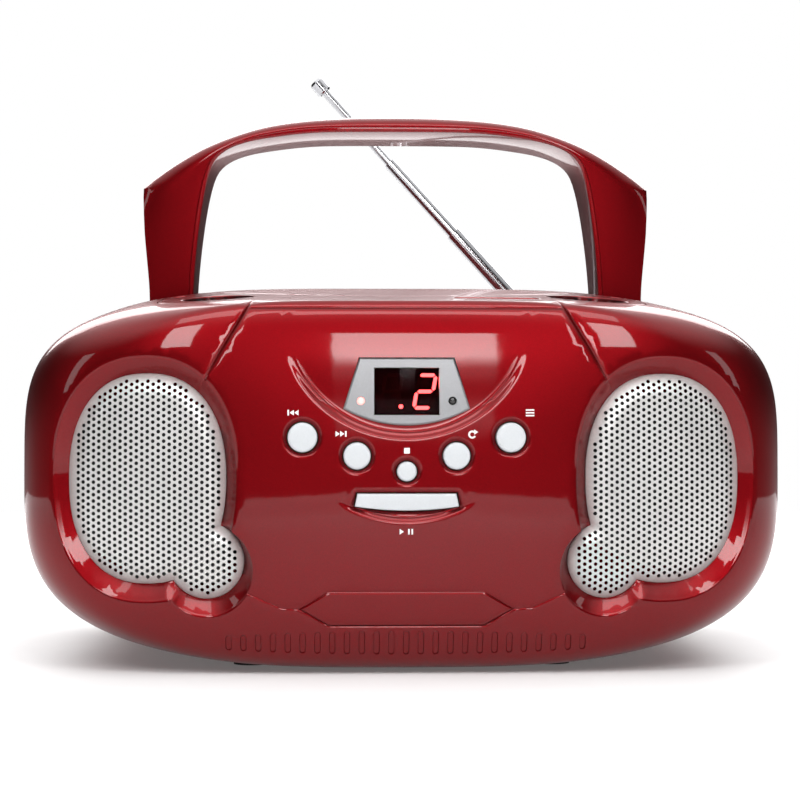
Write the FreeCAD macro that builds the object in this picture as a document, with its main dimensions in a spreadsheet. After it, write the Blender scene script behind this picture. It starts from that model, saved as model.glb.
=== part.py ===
"""A compact CD boombox, modelled as a parametric FreeCAD document. Millimetres, +Z up.

The front faces -Y and the left speaker is on -X. The origin is on the surface that the feet stand on,
under the middle of the box that bounds the whole player with its handle up and its aerial part drawn out.
"""
import FreeCAD, Part
import math
import os
import re
import Sketcher

Vector = FreeCAD.Vector
X_AXIS = Vector(1, 0, 0)
Y_AXIS = Vector(0, 1, 0)
Z_AXIS = Vector(0, 0, 1)

doc = FreeCAD.newDocument("boombox")
sheet = doc.addObject("Spreadsheet::Sheet", "Dims")

DRIVING = {
    # cabinet
    "body_width": 240, "body_low": 1.5, "waist_z": 62, "front_top": 113.5, "crown_top": 125,
    "crown_y": 5, "rear_drop": 14, "front_y": -106, "rear_y": 107, "parting_y": -45, "wall": 2.5,
    "side_roll": 42, "top_roll": 8, "low_roll": 16, "rear_roll": 22, "gap": 0.3,
    # speakers
    "speaker_x": 80.4, "speaker_z": 59.6, "recess_half_x": 28.6, "recess_half_z": 37, "recess_depth": 4,
    "grille_half_x": 24.3, "grille_half_z": 32.4, "lobe_x": 60, "lobe_z": 32, "lobe_recess": 12.4,
    "lobe_grille": 10.2, "cone_radius": 24, "frame_radius": 27.4, "speaker_y": -80.5,
    # console
    "window_half": 9.8, "window_low": 79.4, "window_high": 93.6, "bezel_top_half": 14.4,
    "bezel_half": 19.2, "bezel_high": 96.7, "bezel_corner": 81.2, "bezel_low": 76.2, "led_x": 13.9,
    "led_z": 83.6, "led_radius": 1.2, "console_radius": 39, "console_z": 111, "console_depth": 1.2,
    "outer_key_x": 31.6, "outer_key_z": 72.5, "outer_key_radius": 4.5, "inner_key_x": 15.1,
    "inner_key_z": 66.9, "inner_key_radius": 4.1, "stop_z": 62.2, "stop_radius": 3, "key_proud": 1,
    "key_travel": 1.2, "play_half": 15, "play_high": 55.5, "play_corner": 51.6, "play_low": 50.4,
    "badge_half": 32.1, "badge_flat": 23.6, "badge_z": 20.4, "badge_high": 5,
    "slot_count": 25, "slot_pitch": 4.51, "slot_width": 1.93, "slot_height": 7.5, "slot_z": 9.9,
    # boards behind the console
    "front_board_y": -90, "board": 1.6, "front_board_width": 84, "front_board_low": 44,
    "front_board_high": 98, "tact": 6, "tact_high": 4,
    # top deck and disc well
    "deck_half": 78, "deck_front": -91, "deck_rear": 82, "deck_corner": 22, "lid_y": -14,
    "lid_radius": 63, "lid_thick": 2.2, "well_radius": 61.4, "well_floor": 107, "hinge_y": 53,
    "hinge_z": 119.3, "hinge_half": 27, "knuckle": 2.4, "pin": 1,
    "knob_x": 59, "knob_y": -72, "volume_radius": 11, "tuning_radius": 12.5, "knob_high": 5,
    "slider_x": 73, "slider_y": -40, "slider_travel": 6, "control_z": 94, "dial_y": -84,
    "dial_from": 16, "dial_to": 42, "knob_floor": 107, "knob_base": 107.6, "lid_knuckle": 14,
    # disc mechanism
    "chassis_z": 99.5, "chassis_thick": 1.5, "chassis_half": 50, "disc_z": 110, "turntable": 14,
    "hub": 7.3, "motor_radius": 11, "motor_high": 6, "pickup_x": 30, "pickup_travel": 26,
    "rod_radius": 1.5, "rod_spread": 17,
    # handle
    "handle_y": 5, "handle_pivot_z": 113, "handle_top": 184.5, "handle_foot": 13, "leg_in": 70.4,
    "leg_out": 85.6, "handle_base_deep": 28, "handle_deep": 38, "channel_in": 67.8,
    "channel_out": 87.4, "channel_front": -14, "channel_rear": 62, "channel_floor": 99.4,
    # aerial
    "aerial_x": 65.5, "aerial_y": 98.5, "aerial_z": 110, "aerial_lean": 42.2, "mast_radius": 3,
    "mast_2_radius": 2.3, "mast_3_radius": 1.6, "mast_length": 58.9, "mast_shown": 37.7, "mast_fit": 0.08,
    "notch_front": 91, "notch_floor": 103, "notch_right": 74,
    # power
    "battery_half": 50, "battery_low": 12, "battery_high": 62, "battery_front": 52, "door_hinge_y": 100.6,
    "door_hinge_z": 14.4, "door_pin": 1.2, "foot_x": 48,
    "foot_front": -62, "foot_rear": 72, "foot_radius": 6, "inlet_x": -70, "inlet_z": 32, "jack_x": 70,
    "jack_z": 60, "jack_radius": 1.8, "screw_x": 99, "screw_low": 36, "screw_high": 88,
}
ALIASES = sorted(DRIVING, key=len, reverse=True)
WORDS = re.compile(r"\b(" + "|".join(ALIASES) + r")\b")

for line, (alias, value) in enumerate(DRIVING.items(), start=1):
    sheet.set(f"A{line}", alias)
    sheet.set(f"B{line}", str(value))
    sheet.setAlias(f"B{line}", alias)
doc.recompute()

nodes = {}


def dim(alias):
    """A driving dimension, read from the sheet."""
    return float(getattr(sheet, alias))


def bound(formula):
    """A formula of aliases, as an expression of the sheet's cells."""
    return WORDS.sub(r"Dims.\1", formula)


def drive(thing, prop, value):
    """Sets a property to a number, or binds it to a formula of aliases."""
    if isinstance(value, str):
        thing.setExpression(prop, bound(value))
    else:
        holder, _, last = prop.rpartition(".")
        if holder:
            thing.setExpression(prop, str(value))
        else:
            setattr(thing, last, value)


def put(thing, at, axis=Z_AXIS):
    """Turns a thing's Z axis onto the given axis, and binds its place."""
    thing.Placement = FreeCAD.Placement(Vector(), FreeCAD.Rotation(Z_AXIS, axis))
    for letter, value in zip("xyz", at):
        drive(thing, f"Placement.Base.{letter}", value)
    return thing


def block(name, size, at):
    """A box from its lowest corner."""
    thing = doc.addObject("Part::Box", name)
    for prop, value in zip(("Length", "Width", "Height"), size):
        drive(thing, prop, value)
    return put(thing, at)


def rod(name, radius, length, at, axis=Z_AXIS):
    """A cylinder that starts at a point and runs along an axis."""
    thing = doc.addObject("Part::Cylinder", name)
    drive(thing, "Radius", radius)
    drive(thing, "Height", length)
    return put(thing, at, axis)


def fused(name, parts):
    thing = doc.addObject("Part::MultiFuse", name)
    thing.Shapes = parts
    return thing


def cut(name, base, tools):
    """A base less one tool, or less all of several."""
    thing = doc.addObject("Part::Cut", name)
    thing.Base = base
    thing.Tool = tools[0] if len(tools) == 1 else fused(name + "_tools", tools)
    return thing


def group(name, parts):
    """Separate solids that share a node."""
    thing = doc.addObject("Part::Compound", name)
    thing.Links = parts
    return thing


def shaped(name, shape):
    """A sub-part or tool whose shape only code can give."""
    thing = doc.addObject("Part::Feature", name)
    thing.Shape = shape
    thing.Placement = FreeCAD.Placement()
    return thing


def node(label, thing):
    """Hands a finished thing over as the sub-part of that name."""
    thing.Label = label
    nodes[label] = thing
    return thing


def origin_plane(body, role):
    return next(f for f in body.Origin.OriginFeatures if f.Role == role)


def drawn(sketch, points):
    """A closed outline of straight lines, each corner's place bound to its two formulas."""
    places = [Vector(10 * math.cos(n), 10 * math.sin(n), 0) for n in range(len(points))]
    for here, there in zip(places, places[1:] + places[:1]):
        sketch.addGeometry(Part.LineSegment(here, there), False)
    count = len(points)
    for n in range(count):
        sketch.addConstraint(Sketcher.Constraint("Coincident", n, 2, (n + 1) % count, 1))
    for n, (across, up) in enumerate(points):
        for kind, value in (("DistanceX", across), ("DistanceY", up)):
            row = sketch.addConstraint(Sketcher.Constraint(kind, -1, 1, n, 1, 1.0))
            if isinstance(value, str):
                sketch.setExpression(f"Constraints[{row}]", bound(value))
            else:
                sketch.setDatum(row, FreeCAD.Units.Quantity(value, FreeCAD.Units.Length))


def body_sketch(label, plane, points):
    body = doc.addObject("PartDesign::Body", label + "_body")
    sketch = body.newObject("Sketcher::SketchObject", label + "_outline")
    sketch.AttachmentSupport = [(origin_plane(body, plane), "")]
    sketch.MapMode = "FlatFace"
    drawn(sketch, points)
    return body, sketch


def turned(label, profile, at, axis=Z_AXIS):
    """A body of revolution: its profile's corners are (radius, height along the axis)."""
    body, sketch = body_sketch(label, "XZ_Plane", profile)
    turn = body.newObject("PartDesign::Revolution", label + "_turn")
    turn.Profile = sketch
    turn.ReferenceAxis = (sketch, ["V_Axis"])
    turn.Angle = 360
    body.Tip = turn
    return put(body, at, axis)


# ---------------------------------------------------------------- the cabinet's skin

UPPER_POWER = 4.0
LOWER_POWER = 3.3
AROUND = 32


def roll(depth, length, power):
    """How much of its full size a section has, at a depth behind the end of a rolled edge."""
    if depth >= length:
        return 1.0
    return (1 - (1 - depth / length) ** power) ** (1 / power)


def crown(y):
    """The height of the top's ridge line."""
    if y <= dim("crown_y"):
        ahead = (dim("crown_y") - y) / (dim("crown_y") - dim("front_y"))
        return dim("crown_top") - (dim("crown_top") - dim("front_top")) * ahead ** 1.3
    behind = (y - dim("crown_y")) / (dim("rear_y") - dim("crown_y"))
    return dim("crown_top") - dim("rear_drop") * behind ** 2


def section(y, inset):
    """The closed outline of the skin square to Y, at an inset below the surface."""
    front = y - dim("front_y") - inset
    rear = dim("rear_y") - inset - y
    back = roll(rear, dim("rear_roll"), 3)
    half = (dim("body_width") / 2 - inset) * roll(front, dim("side_roll"), 3) * back
    up = (crown(y) - inset - dim("waist_z")) * roll(front, dim("top_roll"), 2) * back
    down = (dim("waist_z") - dim("body_low") - inset) * roll(front, dim("low_roll"), 2.4) * back
    points = []
    for n in range(AROUND):
        angle = 2 * math.pi * n / AROUND
        c, s = math.cos(angle), math.sin(angle)
        power = UPPER_POWER if s > 0 else LOWER_POWER
        reach = (abs(c) ** power + abs(s) ** power) ** (-1 / power)
        points.append(Vector(half * reach * c, y, dim("waist_z") + (up if s > 0 else down) * reach * s))
    curve = Part.BSplineCurve()
    curve.interpolate(Points=points, PeriodicFlag=True)
    return Part.Wire(curve.toShape())


hulls = {}


def hull(inset):
    """The solid inside the skin's surface moved in by an inset."""
    if inset not in hulls:
        front, rear = dim("front_y") + inset, dim("rear_y") - inset
        stations = [front + depth for depth in (0.2, 1.2, 3.2, 8.2, 17, 28, 42.2)]
        stations += [dim("crown_y"), 50]
        stations += [rear - depth for depth in (22.2, 8, 1.5, 0.2)]
        hulls[inset] = Part.makeLoft([section(y, inset) for y in stations], True, True)
    return hulls[inset]


def along_y(face, start=-150, length=90):
    """A prism along Y from a face drawn in the XZ plane."""
    moved = face.copy()
    moved.translate(Vector(0, start, 0))
    return moved.extrude(Vector(0, length, 0))


def face_of(edges):
    return Part.Face(Part.Wire(edges))


def polygon(points):
    return Part.Face(Part.makePolygon(points + points[:1]))


def oval(x, z, half_x, half_z, power=2.3):
    """An oval a little fuller than an ellipse, in the XZ plane."""
    points = []
    for n in range(32):
        c, s = math.cos(math.pi * n / 16), math.sin(math.pi * n / 16)
        reach = (abs(c) ** power + abs(s) ** power) ** (-1 / power)
        points.append(Vector(x + half_x * reach * c, 0, z + half_z * reach * s))
    curve = Part.BSplineCurve()
    curve.interpolate(Points=points, PeriodicFlag=True)
    return face_of([curve.toShape()])


def disc(x, z, radius):
    return face_of([Part.makeCircle(radius, Vector(x, 0, z), Y_AXIS)])


def flat_disc(x, y, radius, low=60, length=120):
    return Part.makeCylinder(radius, length, Vector(x, y, low))


def box(low, high):
    """A box shape between two corners."""
    size = [b - a for a, b in zip(low, high)]
    return Part.makeBox(*size, Vector(*low))


def skin(outer, inner, prism):
    """The layer of the cabinet between two insets, inside a prism."""
    return hull(outer).common(prism).cut(hull(inner))


def one_solid(shape):
    """The largest solid of a shape."""
    return max(shape.Solids, key=lambda solid: solid.Volume)


# ---------------------------------------------------------------- outlines on the front

def speaker_outline(side, half_x, half_z, lobe):
    """A speaker's oval joined to the smaller round lobe below it, as a prism."""
    main = along_y(oval(side * dim("speaker_x"), dim("speaker_z"), half_x, half_z))
    return main.fuse(along_y(disc(side * dim("lobe_x"), dim("lobe_z"), lobe)))


def recess_prism(side, grow=0.0):
    return speaker_outline(side, dim("recess_half_x") + grow, dim("recess_half_z") + grow,
                           dim("lobe_recess") + grow)


def grille_prism(side, grow=0.0):
    return speaker_outline(side, dim("grille_half_x") + grow, dim("grille_half_z") + grow,
                           dim("lobe_grille") + grow)


def bezel_prism(grow=0.0):
    """The display surround: a straight top, splayed sides and a bowed lower edge."""
    top, high = dim("bezel_top_half") + grow, dim("bezel_high") + grow
    half, corner, low = dim("bezel_half") + grow, dim("bezel_corner"), dim("bezel_low") - grow
    bow = Part.Arc(Vector(half, 0, corner), Vector(0, 0, low), Vector(-half, 0, corner)).toShape()
    return along_y(face_of([
        Part.makeLine(Vector(-half, 0, corner), Vector(-top, 0, high)),
        Part.makeLine(Vector(-top, 0, high), Vector(top, 0, high)),
        Part.makeLine(Vector(top, 0, high), Vector(half, 0, corner)), bow]))


def window_prism(grow=0.0):
    half = dim("window_half") + grow
    return box((-half, -150, dim("window_low") - grow), (half, 0, dim("window_high") + grow))


def play_prism(grow=0.0):
    """The wide play key: splayed ends and a bowed lower edge."""
    half, high = dim("play_half") + grow, dim("play_high") + grow
    corner, low = dim("play_corner") - grow / 2, dim("play_low") - grow
    splay = 0.8
    bow = Part.Arc(Vector(half + splay, 0, corner), Vector(0, 0, low), Vector(-half - splay, 0, corner))
    return along_y(face_of([
        Part.makeLine(Vector(-half - splay, 0, corner), Vector(-half, 0, high)),
        Part.makeLine(Vector(-half, 0, high), Vector(half, 0, high)),
        Part.makeLine(Vector(half, 0, high), Vector(half + splay, 0, corner)), bow.toShape()]))


def badge_prism(grow=0.0):
    """The blank badge: a long hexagon."""
    half, flat = dim("badge_half") + grow, dim("badge_flat") + grow
    rise, middle = dim("badge_high") + grow, dim("badge_z")
    return along_y(polygon([
        Vector(-half, 0, middle), Vector(-flat, 0, middle + rise), Vector(flat, 0, middle + rise),
        Vector(half, 0, middle), Vector(flat, 0, middle - rise), Vector(-flat, 0, middle - rise)]))


ROUND_KEYS = {
    "button_skip_back": ("-outer_key_x", "outer_key_z", "outer_key_radius"),
    "button_program": ("outer_key_x", "outer_key_z", "outer_key_radius"),
    "button_skip_forward": ("-inner_key_x", "inner_key_z", "inner_key_radius"),
    "button_repeat": ("inner_key_x", "inner_key_z", "inner_key_radius"),
    "button_stop": (0, "stop_z", "stop_radius"),
}


def worth(value):
    """The number behind an alias with an optional minus sign."""
    if isinstance(value, str):
        sign = -1 if value.startswith("-") else 1
        return sign * dim(value.lstrip("-"))
    return value


def key_holes(grow):
    holes = [along_y(disc(worth(x), worth(z), worth(radius) + grow))
             for x, z, radius in ROUND_KEYS.values()]
    return holes + [play_prism(grow)]


def slot_prisms():
    """The row of upright slots along the lower front, shorter towards the ends of the row."""
    count, pitch, width = int(dim("slot_count")), dim("slot_pitch"), dim("slot_width")
    prisms = []
    for n in range(count):
        x = (n - (count - 1) / 2) * pitch
        tall = dim("slot_height") * (1 - 0.4 * (2 * x / (count * pitch)) ** 2)
        half = width / 2
        prisms.append(box((x - half, -150, dim("slot_z") - tall / 2),
                          (x + half, -70, dim("slot_z") + tall / 2)))
    return prisms


# ---------------------------------------------------------------- outlines on the top

def deck_prism(grow=0.0):
    """The top plate's outline seen from above, with round corners."""
    half, front = dim("deck_half") + grow, dim("deck_front") - grow
    rear = dim("deck_rear") + grow
    solid = box((-half, front, 80), (half, rear, 140))
    uprights = [edge for edge in solid.Edges if abs(edge.tangentAt(edge.FirstParameter).z) > 0.99]
    return solid.makeFillet(dim("deck_corner") + grow, uprights)


def channel_box(side, grow=0.0):
    """The channel that a handle leg swings in."""
    low, high = sorted((side * (dim("channel_in") - grow), side * (dim("channel_out") + grow)))
    return box((low, dim("channel_front") - grow, dim("channel_floor") - grow),
               (high, dim("channel_rear") + grow, 150))


def notch_box(grow=0.0):
    """The shelf along the top of the back that the aerial lies in."""
    return box((-150, dim("notch_front") - grow, dim("notch_floor") - grow),
               (dim("notch_right") + grow, 150, 150))


def lid_prism(grow=0.0):
    """The disc lid's outline seen from above: a circle with a square tail at the hinge."""
    tail = dim("hinge_half") + grow
    rear = dim("hinge_y") - 0.6 + (3.4 if grow else 0)
    square = box((-tail, dim("lid_y"), 60), (tail, rear, 180))
    return flat_disc(0, dim("lid_y"), dim("lid_radius") + grow).fuse(square)


# ---------------------------------------------------------------- cabinet

def make_front_cabinet():
    """The front moulding, with its speaker wells, console, key holes and board posts."""
    wall, depth = dim("wall"), dim("recess_depth")
    front_half = box((-150, -150, -10), (150, dim("parting_y"), 150))
    shell = hull(0).cut(hull(wall)).common(front_half)
    near = box((-150, -150, 0), (150, -70, 130))
    openings = [recess_prism(side) for side in (-1, 1)]
    openings += key_holes(0.45) + [bezel_prism(0.15), badge_prism(0.15)]
    shell = shell.cut([deck_prism(dim("gap"))] + [opening.common(near) for opening in openings])
    console = along_y(disc(0, dim("console_z"), dim("console_radius")))
    slots = Part.Compound(slot_prisms())
    shell = shell.cut(Part.Compound([console, slots]).common(near).cut(hull(dim("console_depth"))))
    added = [skin(1.8, wall + 0.6, badge_prism(1.2)),
             skin(wall - 0.2, wall + 1.4, bezel_prism(1.2).cut(bezel_prism(-1.6)))]
    for side in (-1, 1):
        rim = recess_prism(side, 1.4).common(near)
        added.append(skin(0.4, depth + 1.4, rim.cut(recess_prism(side))))
        added.append(skin(depth, depth + 1.4, rim.cut(grille_prism(side, 0.4))))
    post_face = dim("front_board_y")
    for x in (-1, 1):
        for z in (dim("front_board_low") + 4, dim("front_board_high") - 5):
            across = x * (dim("front_board_width") / 2 - 4)
            post = Part.makeCylinder(2.6, 40, Vector(across, post_face - 40, z), Y_AXIS)
            added.append(post.common(hull(1.0)))
    shell = shell.fuse(added).cut([opening.common(near) for opening in key_holes(0.45)])
    node("front_cabinet", shaped("front_cabinet", one_solid(shell)))


def make_rear_cabinet():
    """The rear moulding, with the handle channels, the aerial shelf and the battery bay."""
    wall = dim("wall")
    rear_half = box((-150, dim("parting_y"), -10), (150, 150, 150))
    shell = hull(0).cut(hull(wall)).common(rear_half).cut(deck_prism(dim("gap")))
    inside = hull(0.5)
    plate_space = deck_prism(dim("gap")).cut(hull(wall + 0.2))
    half, low, high = dim("battery_half"), dim("battery_low"), dim("battery_high")
    added = [channel_box(side, 1.8).common(inside).cut(plate_space) for side in (-1, 1)]
    added.append(notch_box(2).common(inside))
    bay_wall = box((-half - 2, dim("battery_front") - 2, low - 2), (half + 2, 120, high + 2))
    added.append(bay_wall.common(inside))
    taken = [channel_box(-1), channel_box(1), notch_box()]
    taken.append(box((-half, dim("battery_front"), low), (half, 150, high)))
    pin_at = Vector(-half - 1.6, dim("door_hinge_y"), dim("door_hinge_z"))
    taken.append(Part.makeCylinder(dim("door_pin") + 0.1, 2 * half + 3.2, pin_at, X_AXIS))
    x, z = dim("inlet_x"), dim("inlet_z")
    taken.append(box((x - 11, 80, z - 8), (x + 11, 150, z + 8)))
    taken.append(Part.makeCylinder(4, 60, Vector(dim("jack_x"), 90, dim("jack_z")), Y_AXIS))
    for n in range(9):
        x = (n - 4) * 9
        taken.append(box((x - 1.5, 95, 74), (x + 1.5, 150, 90)))
    for x in (-dim("screw_x"), dim("screw_x")):
        for z in (dim("screw_low"), dim("screw_high")):
            boss = Part.makeCylinder(4.4, 140, Vector(x, dim("rear_y") - 32, z), Y_AXIS)
            added.append(boss.common(inside))
            taken.append(Part.makeCylinder(3.2, 60, Vector(x, dim("rear_y") - 12, z), Y_AXIS))
            taken.append(Part.makeCylinder(1.5, 30, Vector(x, dim("rear_y") - 30, z), Y_AXIS))
    node("rear_cabinet", shaped("rear_cabinet", one_solid(shell.fuse(added).cut(taken))))


def make_top_deck():
    """The top plate with the disc well, the knob wells and the slider slots."""
    wall, floor = dim("wall"), dim("well_floor")
    under = hull(wall - 0.3)
    tail = dim("hinge_half")
    deck = skin(0, wall, deck_prism()).cut(lid_prism(0.4))
    ring = flat_disc(0, dim("lid_y"), dim("well_radius") + 3.4, floor - 2, 60)
    tray = ring.fuse(box((-tail - 3.5, 20, floor - 2), (tail + 3.5, 59, 140))).common(under)
    hollow = flat_disc(0, dim("lid_y"), dim("well_radius"), floor, 60)
    hollow = hollow.fuse(box((-tail - 1, 20, floor), (tail + 1, 57, 140)))
    added = [tray.cut(hollow)]
    for side in (-1, 1):
        for inner in (11, 24.4):
            low, high = sorted((side * inner, side * (inner + 2.4)))
            bracket = box((low, 49.5, floor - 1), (high, 58, dim("hinge_z") + 0.3))
            added.append(bracket.common(hull(0.5)))
        start = Vector(min(side * 11, side * 26.8), dim("hinge_y"), dim("hinge_z"))
        added.append(Part.makeCylinder(dim("pin"), 15.8, start, X_AXIS))
    slot_end = dim("pickup_x") + dim("pickup_travel") + 4
    taken = [flat_disc(0, dim("lid_y"), dim("turntable") + 3, 90, 60),
             box((0, dim("lid_y") - 8, 90), (slot_end, dim("lid_y") + 8, floor + 1)),
             box((dim("dial_from"), dim("dial_y") - 2.6, 100), (dim("dial_to"), dim("dial_y") + 2.6, 140))]
    for side, radius in ((-1, dim("volume_radius")), (1, dim("tuning_radius"))):
        x, y = side * dim("knob_x"), dim("knob_y")
        added.append(flat_disc(x, y, radius + 2, 105.5, 60).common(hull(0.4)))
        taken += [flat_disc(x, y, radius + 0.5, dim("knob_floor")), flat_disc(x, y, 3.4, 90)]
        taken.append(channel_box(side, 2))
        across = side * dim("slider_x")
        taken.append(box((across - 2.6, dim("slider_y") - 7, 100), (across + 2.6, dim("slider_y") + 7, 140)))
    node("top_deck", shaped("top_deck", one_solid(deck.fuse(added).cut(taken))))


def make_lid():
    """The domed disc lid, with its two hinge knuckles."""
    lid = skin(0, dim("lid_thick"), lid_prism())
    pin_y, pin_z = dim("hinge_y"), dim("hinge_z")
    added = []
    for side in (-1, 1):
        low, high = sorted((side * dim("lid_knuckle"), side * (dim("lid_knuckle") + 10)))
        added.append(Part.makeCylinder(dim("knuckle"), 10, Vector(low, pin_y, pin_z), X_AXIS))
        added.append(box((low, pin_y - 6, pin_z - 1.6), (high, pin_y, pin_z + 2)).common(hull(0.6)))
    rim = flat_disc(0, dim("lid_y"), 52, 100, 60).cut(flat_disc(0, dim("lid_y"), 50.4, 100, 60))
    added.append(rim.common(hull(dim("lid_thick") - 0.2)).cut(hull(dim("lid_thick") + 1.2)))
    bore = Part.makeCylinder(dim("pin") + 0.06, 60, Vector(-30, pin_y, pin_z), X_AXIS)
    node("cd_lid", shaped("cd_lid", one_solid(lid.fuse(added).cut(bore))))


def make_badge():
    """The blank hexagonal badge."""
    node("badge_plate", shaped("badge_plate", one_solid(skin(0.2, 1.6, badge_prism()))))


def make_feet():
    """Four rubber feet that fill the space between the curved underside and the table."""
    feet = []
    for x in (-dim("foot_x"), dim("foot_x")):
        for y in (dim("foot_front"), dim("foot_rear")):
            feet.append(Part.makeCylinder(dim("foot_radius"), 4, Vector(x, y, 0)).cut(hull(0)))
    node("rubber_feet", shaped("rubber_feet", Part.Compound([one_solid(foot) for foot in feet])))


def make_screws():
    """The four screws that hold the two mouldings together, deep in the back."""
    screws = []
    profile = [(0, 0), (2.8, 0), (2.8, 1.8), (1.45, 2.4), (1.45, 16), (0, 16)]
    for row, x in enumerate(("-screw_x", "screw_x")):
        for level, z in enumerate(("screw_low", "screw_high")):
            screws.append(turned(f"screw_{row}_{level}", profile, (x, "rear_y-9.6", z), -Y_AXIS))
    node("case_screws", group("case_screws", screws))


# ---------------------------------------------------------------- speakers

def make_speakers():
    """Each side's perforated grille, and the loudspeaker behind it: basket, cone and magnet."""
    for side, word in ((-1, "left"), (1, "right")):
        depth = dim("recess_depth")
        grille = skin(depth - 0.8, depth + 0.2, grille_prism(side, 0.2))
        node(f"{word}_grille", shaped(f"{word}_grille", one_solid(grille)))
        x = "speaker_x" if side > 0 else "-speaker_x"
        basket = [("cone_radius+1", 0), ("frame_radius", 0), ("frame_radius", 2), (17, 16), (14, 16),
                  (14, 14.5), ("cone_radius+1", 2)]
        node(f"{word}_speaker_basket",
             turned(f"{word}_speaker_basket", basket, (x, "speaker_y", "speaker_z"), Y_AXIS))
        paper = [(0, 6.4), (6, 6.4), ("cone_radius-3", 1), ("cone_radius+0.8", 0.4),
                 ("cone_radius+0.8", 1.4), ("cone_radius-3", 2), (6.5, 8), (0, 8)]
        node(f"{word}_speaker_cone",
             turned(f"{word}_speaker_cone", paper, (x, "speaker_y", "speaker_z"), Y_AXIS))
        magnet = [(0, 9), (6, 9), (6, 16.2), (16, 16.2), (16, 24), (0, 24)]
        node(f"{word}_speaker_magnet",
             turned(f"{word}_speaker_magnet", magnet, (x, "speaker_y", "speaker_z"), Y_AXIS))


# ---------------------------------------------------------------- console

def make_display():
    """The silver surround, the dark window, the figure display behind it and the two lamps."""
    bezel = skin(0.4, 2.2, bezel_prism()).cut(window_prism(0.15))
    for x in (-dim("led_x"), dim("led_x")):
        bezel = bezel.cut(along_y(disc(x, dim("led_z"), dim("led_radius") + 0.1)))
    node("display_bezel", shaped("display_bezel", one_solid(bezel)))
    node("display_window", shaped("display_window", one_solid(skin(0.9, 2.2, window_prism()))))
    node("led_display", block("led_display", ("2*window_half-0.6", 10, "window_high-window_low-0.6"),
                              ("0.3-window_half", "front_board_y-10", "window_low+0.3")))
    lamp = [(0, -13.6), ("led_radius*0.7", -13.4), ("led_radius", -12.6), ("led_radius", -1.5), (1.9, -1.5),
            (1.9, 0), (0, 0)]
    for label, x in (("power_lamp", "-led_x"), ("stereo_lamp", "led_x")):
        node(label, turned(label, lamp, (x, "front_board_y", "led_z"), Y_AXIS))


def make_keys():
    """The five round keys and the wide play key, each with a flange and a stem to its switch."""
    surface = -105.4
    flange = surface + 4.4
    stem_end = "front_board_y-tact_high-key_travel-0.1"
    for label, (x, z, radius) in ROUND_KEYS.items():
        profile = [(0, f"{surface}-key_proud"), (f"{radius}-0.8", f"{surface}-key_proud"),
                   (radius, f"{surface}-key_proud+0.8"), (radius, flange), (f"{radius}+1.1", flange),
                   (f"{radius}+1.1", flange + 1), (1.5, flange + 1), (1.5, stem_end), (0, stem_end)]
        node(label, turned(label, profile, (x, 0, z), Y_AXIS))
    key = play_prism().common(box((-60, surface - dim("key_proud"), 0), (60, flange + 1, 130)))
    ledge = play_prism(1.1).common(box((-60, flange, 0), (60, flange + 1, 130)))
    ledge = ledge.cut(box((-60, flange, dim("play_high") + 0.6), (60, 0, 130)))
    tip = dim("front_board_y") - dim("tact_high") - dim("key_travel") - 0.1
    stem = box((-2, flange, 52), (2, tip, 54.5))
    node("button_play_pause", shaped("button_play_pause", one_solid(key.fuse(ledge).fuse(stem))))


def make_front_board():
    """The circuit board behind the console, with a switch behind each key."""
    node("front_board", block(
        "front_board", ("front_board_width", "board", "front_board_high-front_board_low"),
        ("-front_board_width/2", "front_board_y", "front_board_low")))
    places = [(x, z) for x, z, _ in ROUND_KEYS.values()] + [(0, "play_low+2.8")]
    switches = []
    for n, (x, z) in enumerate(places):
        low_x = f"{x}-tact/2"
        low_z = f"{z}-tact/2"
        switches.append(block(f"tact_{n}", ("tact", "tact_high", "tact"),
                              (low_x, "front_board_y-tact_high", low_z)))
    node("tact_switches", group("tact_switches", switches))


# ---------------------------------------------------------------- controls on the top

def make_knobs():
    """The volume and tuning knobs, sunk in the top so that they stand flush, with their shafts."""
    for label, side, radius in (("volume_knob", "-knob_x", "volume_radius"),
                                ("tuning_knob", "knob_x", "tuning_radius")):
        rim, top = "knob_base+knob_high", "knob_base+knob_high+0.8"
        profile = [(0, "knob_base-5.1"), (2.6, "knob_base-5.1"), (2.6, "knob_base"), (radius, "knob_base"),
                   (radius, rim), (f"{radius}-1", top), (0, top)]
        node(label, turned(label, profile, (side, "knob_y", 0)))
    low, high = "control_z+board", "control_z+board+6.5"
    pot = [(0, low), (8, low), (8, high), (0, high)]
    node("volume_potentiometer", turned("volume_potentiometer", pot, ("-knob_x", "knob_y", 0)))
    node("tuning_capacitor", block("tuning_capacitor", (18, 18, 6.5),
                                   ("knob_x-9", "knob_y-9", "control_z+board")))


def make_control_boards():
    """The boards under the knobs, and the slide switches with the caps that move them."""
    outline = (36, 46, "board")
    node("volume_board", block("volume_board", outline, ("-knob_x-19", "knob_y-12", "control_z")))
    node("tuner_board", block("tuner_board", outline, ("knob_x-17", "knob_y-12", "control_z")))
    switches = []
    for label, side in (("function_slider", -1), ("band_slider", 1)):
        x = f"{side}*slider_x"
        middle = "slider_y-slider_travel/2"
        switches.append(block(label + "_switch", (7, 16, 5), (x + "-3.5", "slider_y-8", "control_z+board")))
        foot = block(label + "_foot", (2, 4, 14), (x + "-1", middle + "-2", "control_z+board+5.3"))
        cap = block(label + "_cap", (4.6, 7, 2.4), (x + "-2.3", middle + "-3.5", "control_z+board+19"))
        node(label, fused(label, [foot, cap]))
    node("slide_switches", group("slide_switches", switches))


def make_dial():
    """The tuning scale under its slot, and the pointer that runs along it."""
    node("dial_scale", block("dial_scale", (30, 8, 1), (14, "dial_y-4", 107.4)))
    node("dial_pointer", block("dial_pointer", (1.2, 4, 0.8), (18, "dial_y-2", 108.8)))


# ---------------------------------------------------------------- disc mechanism

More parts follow.
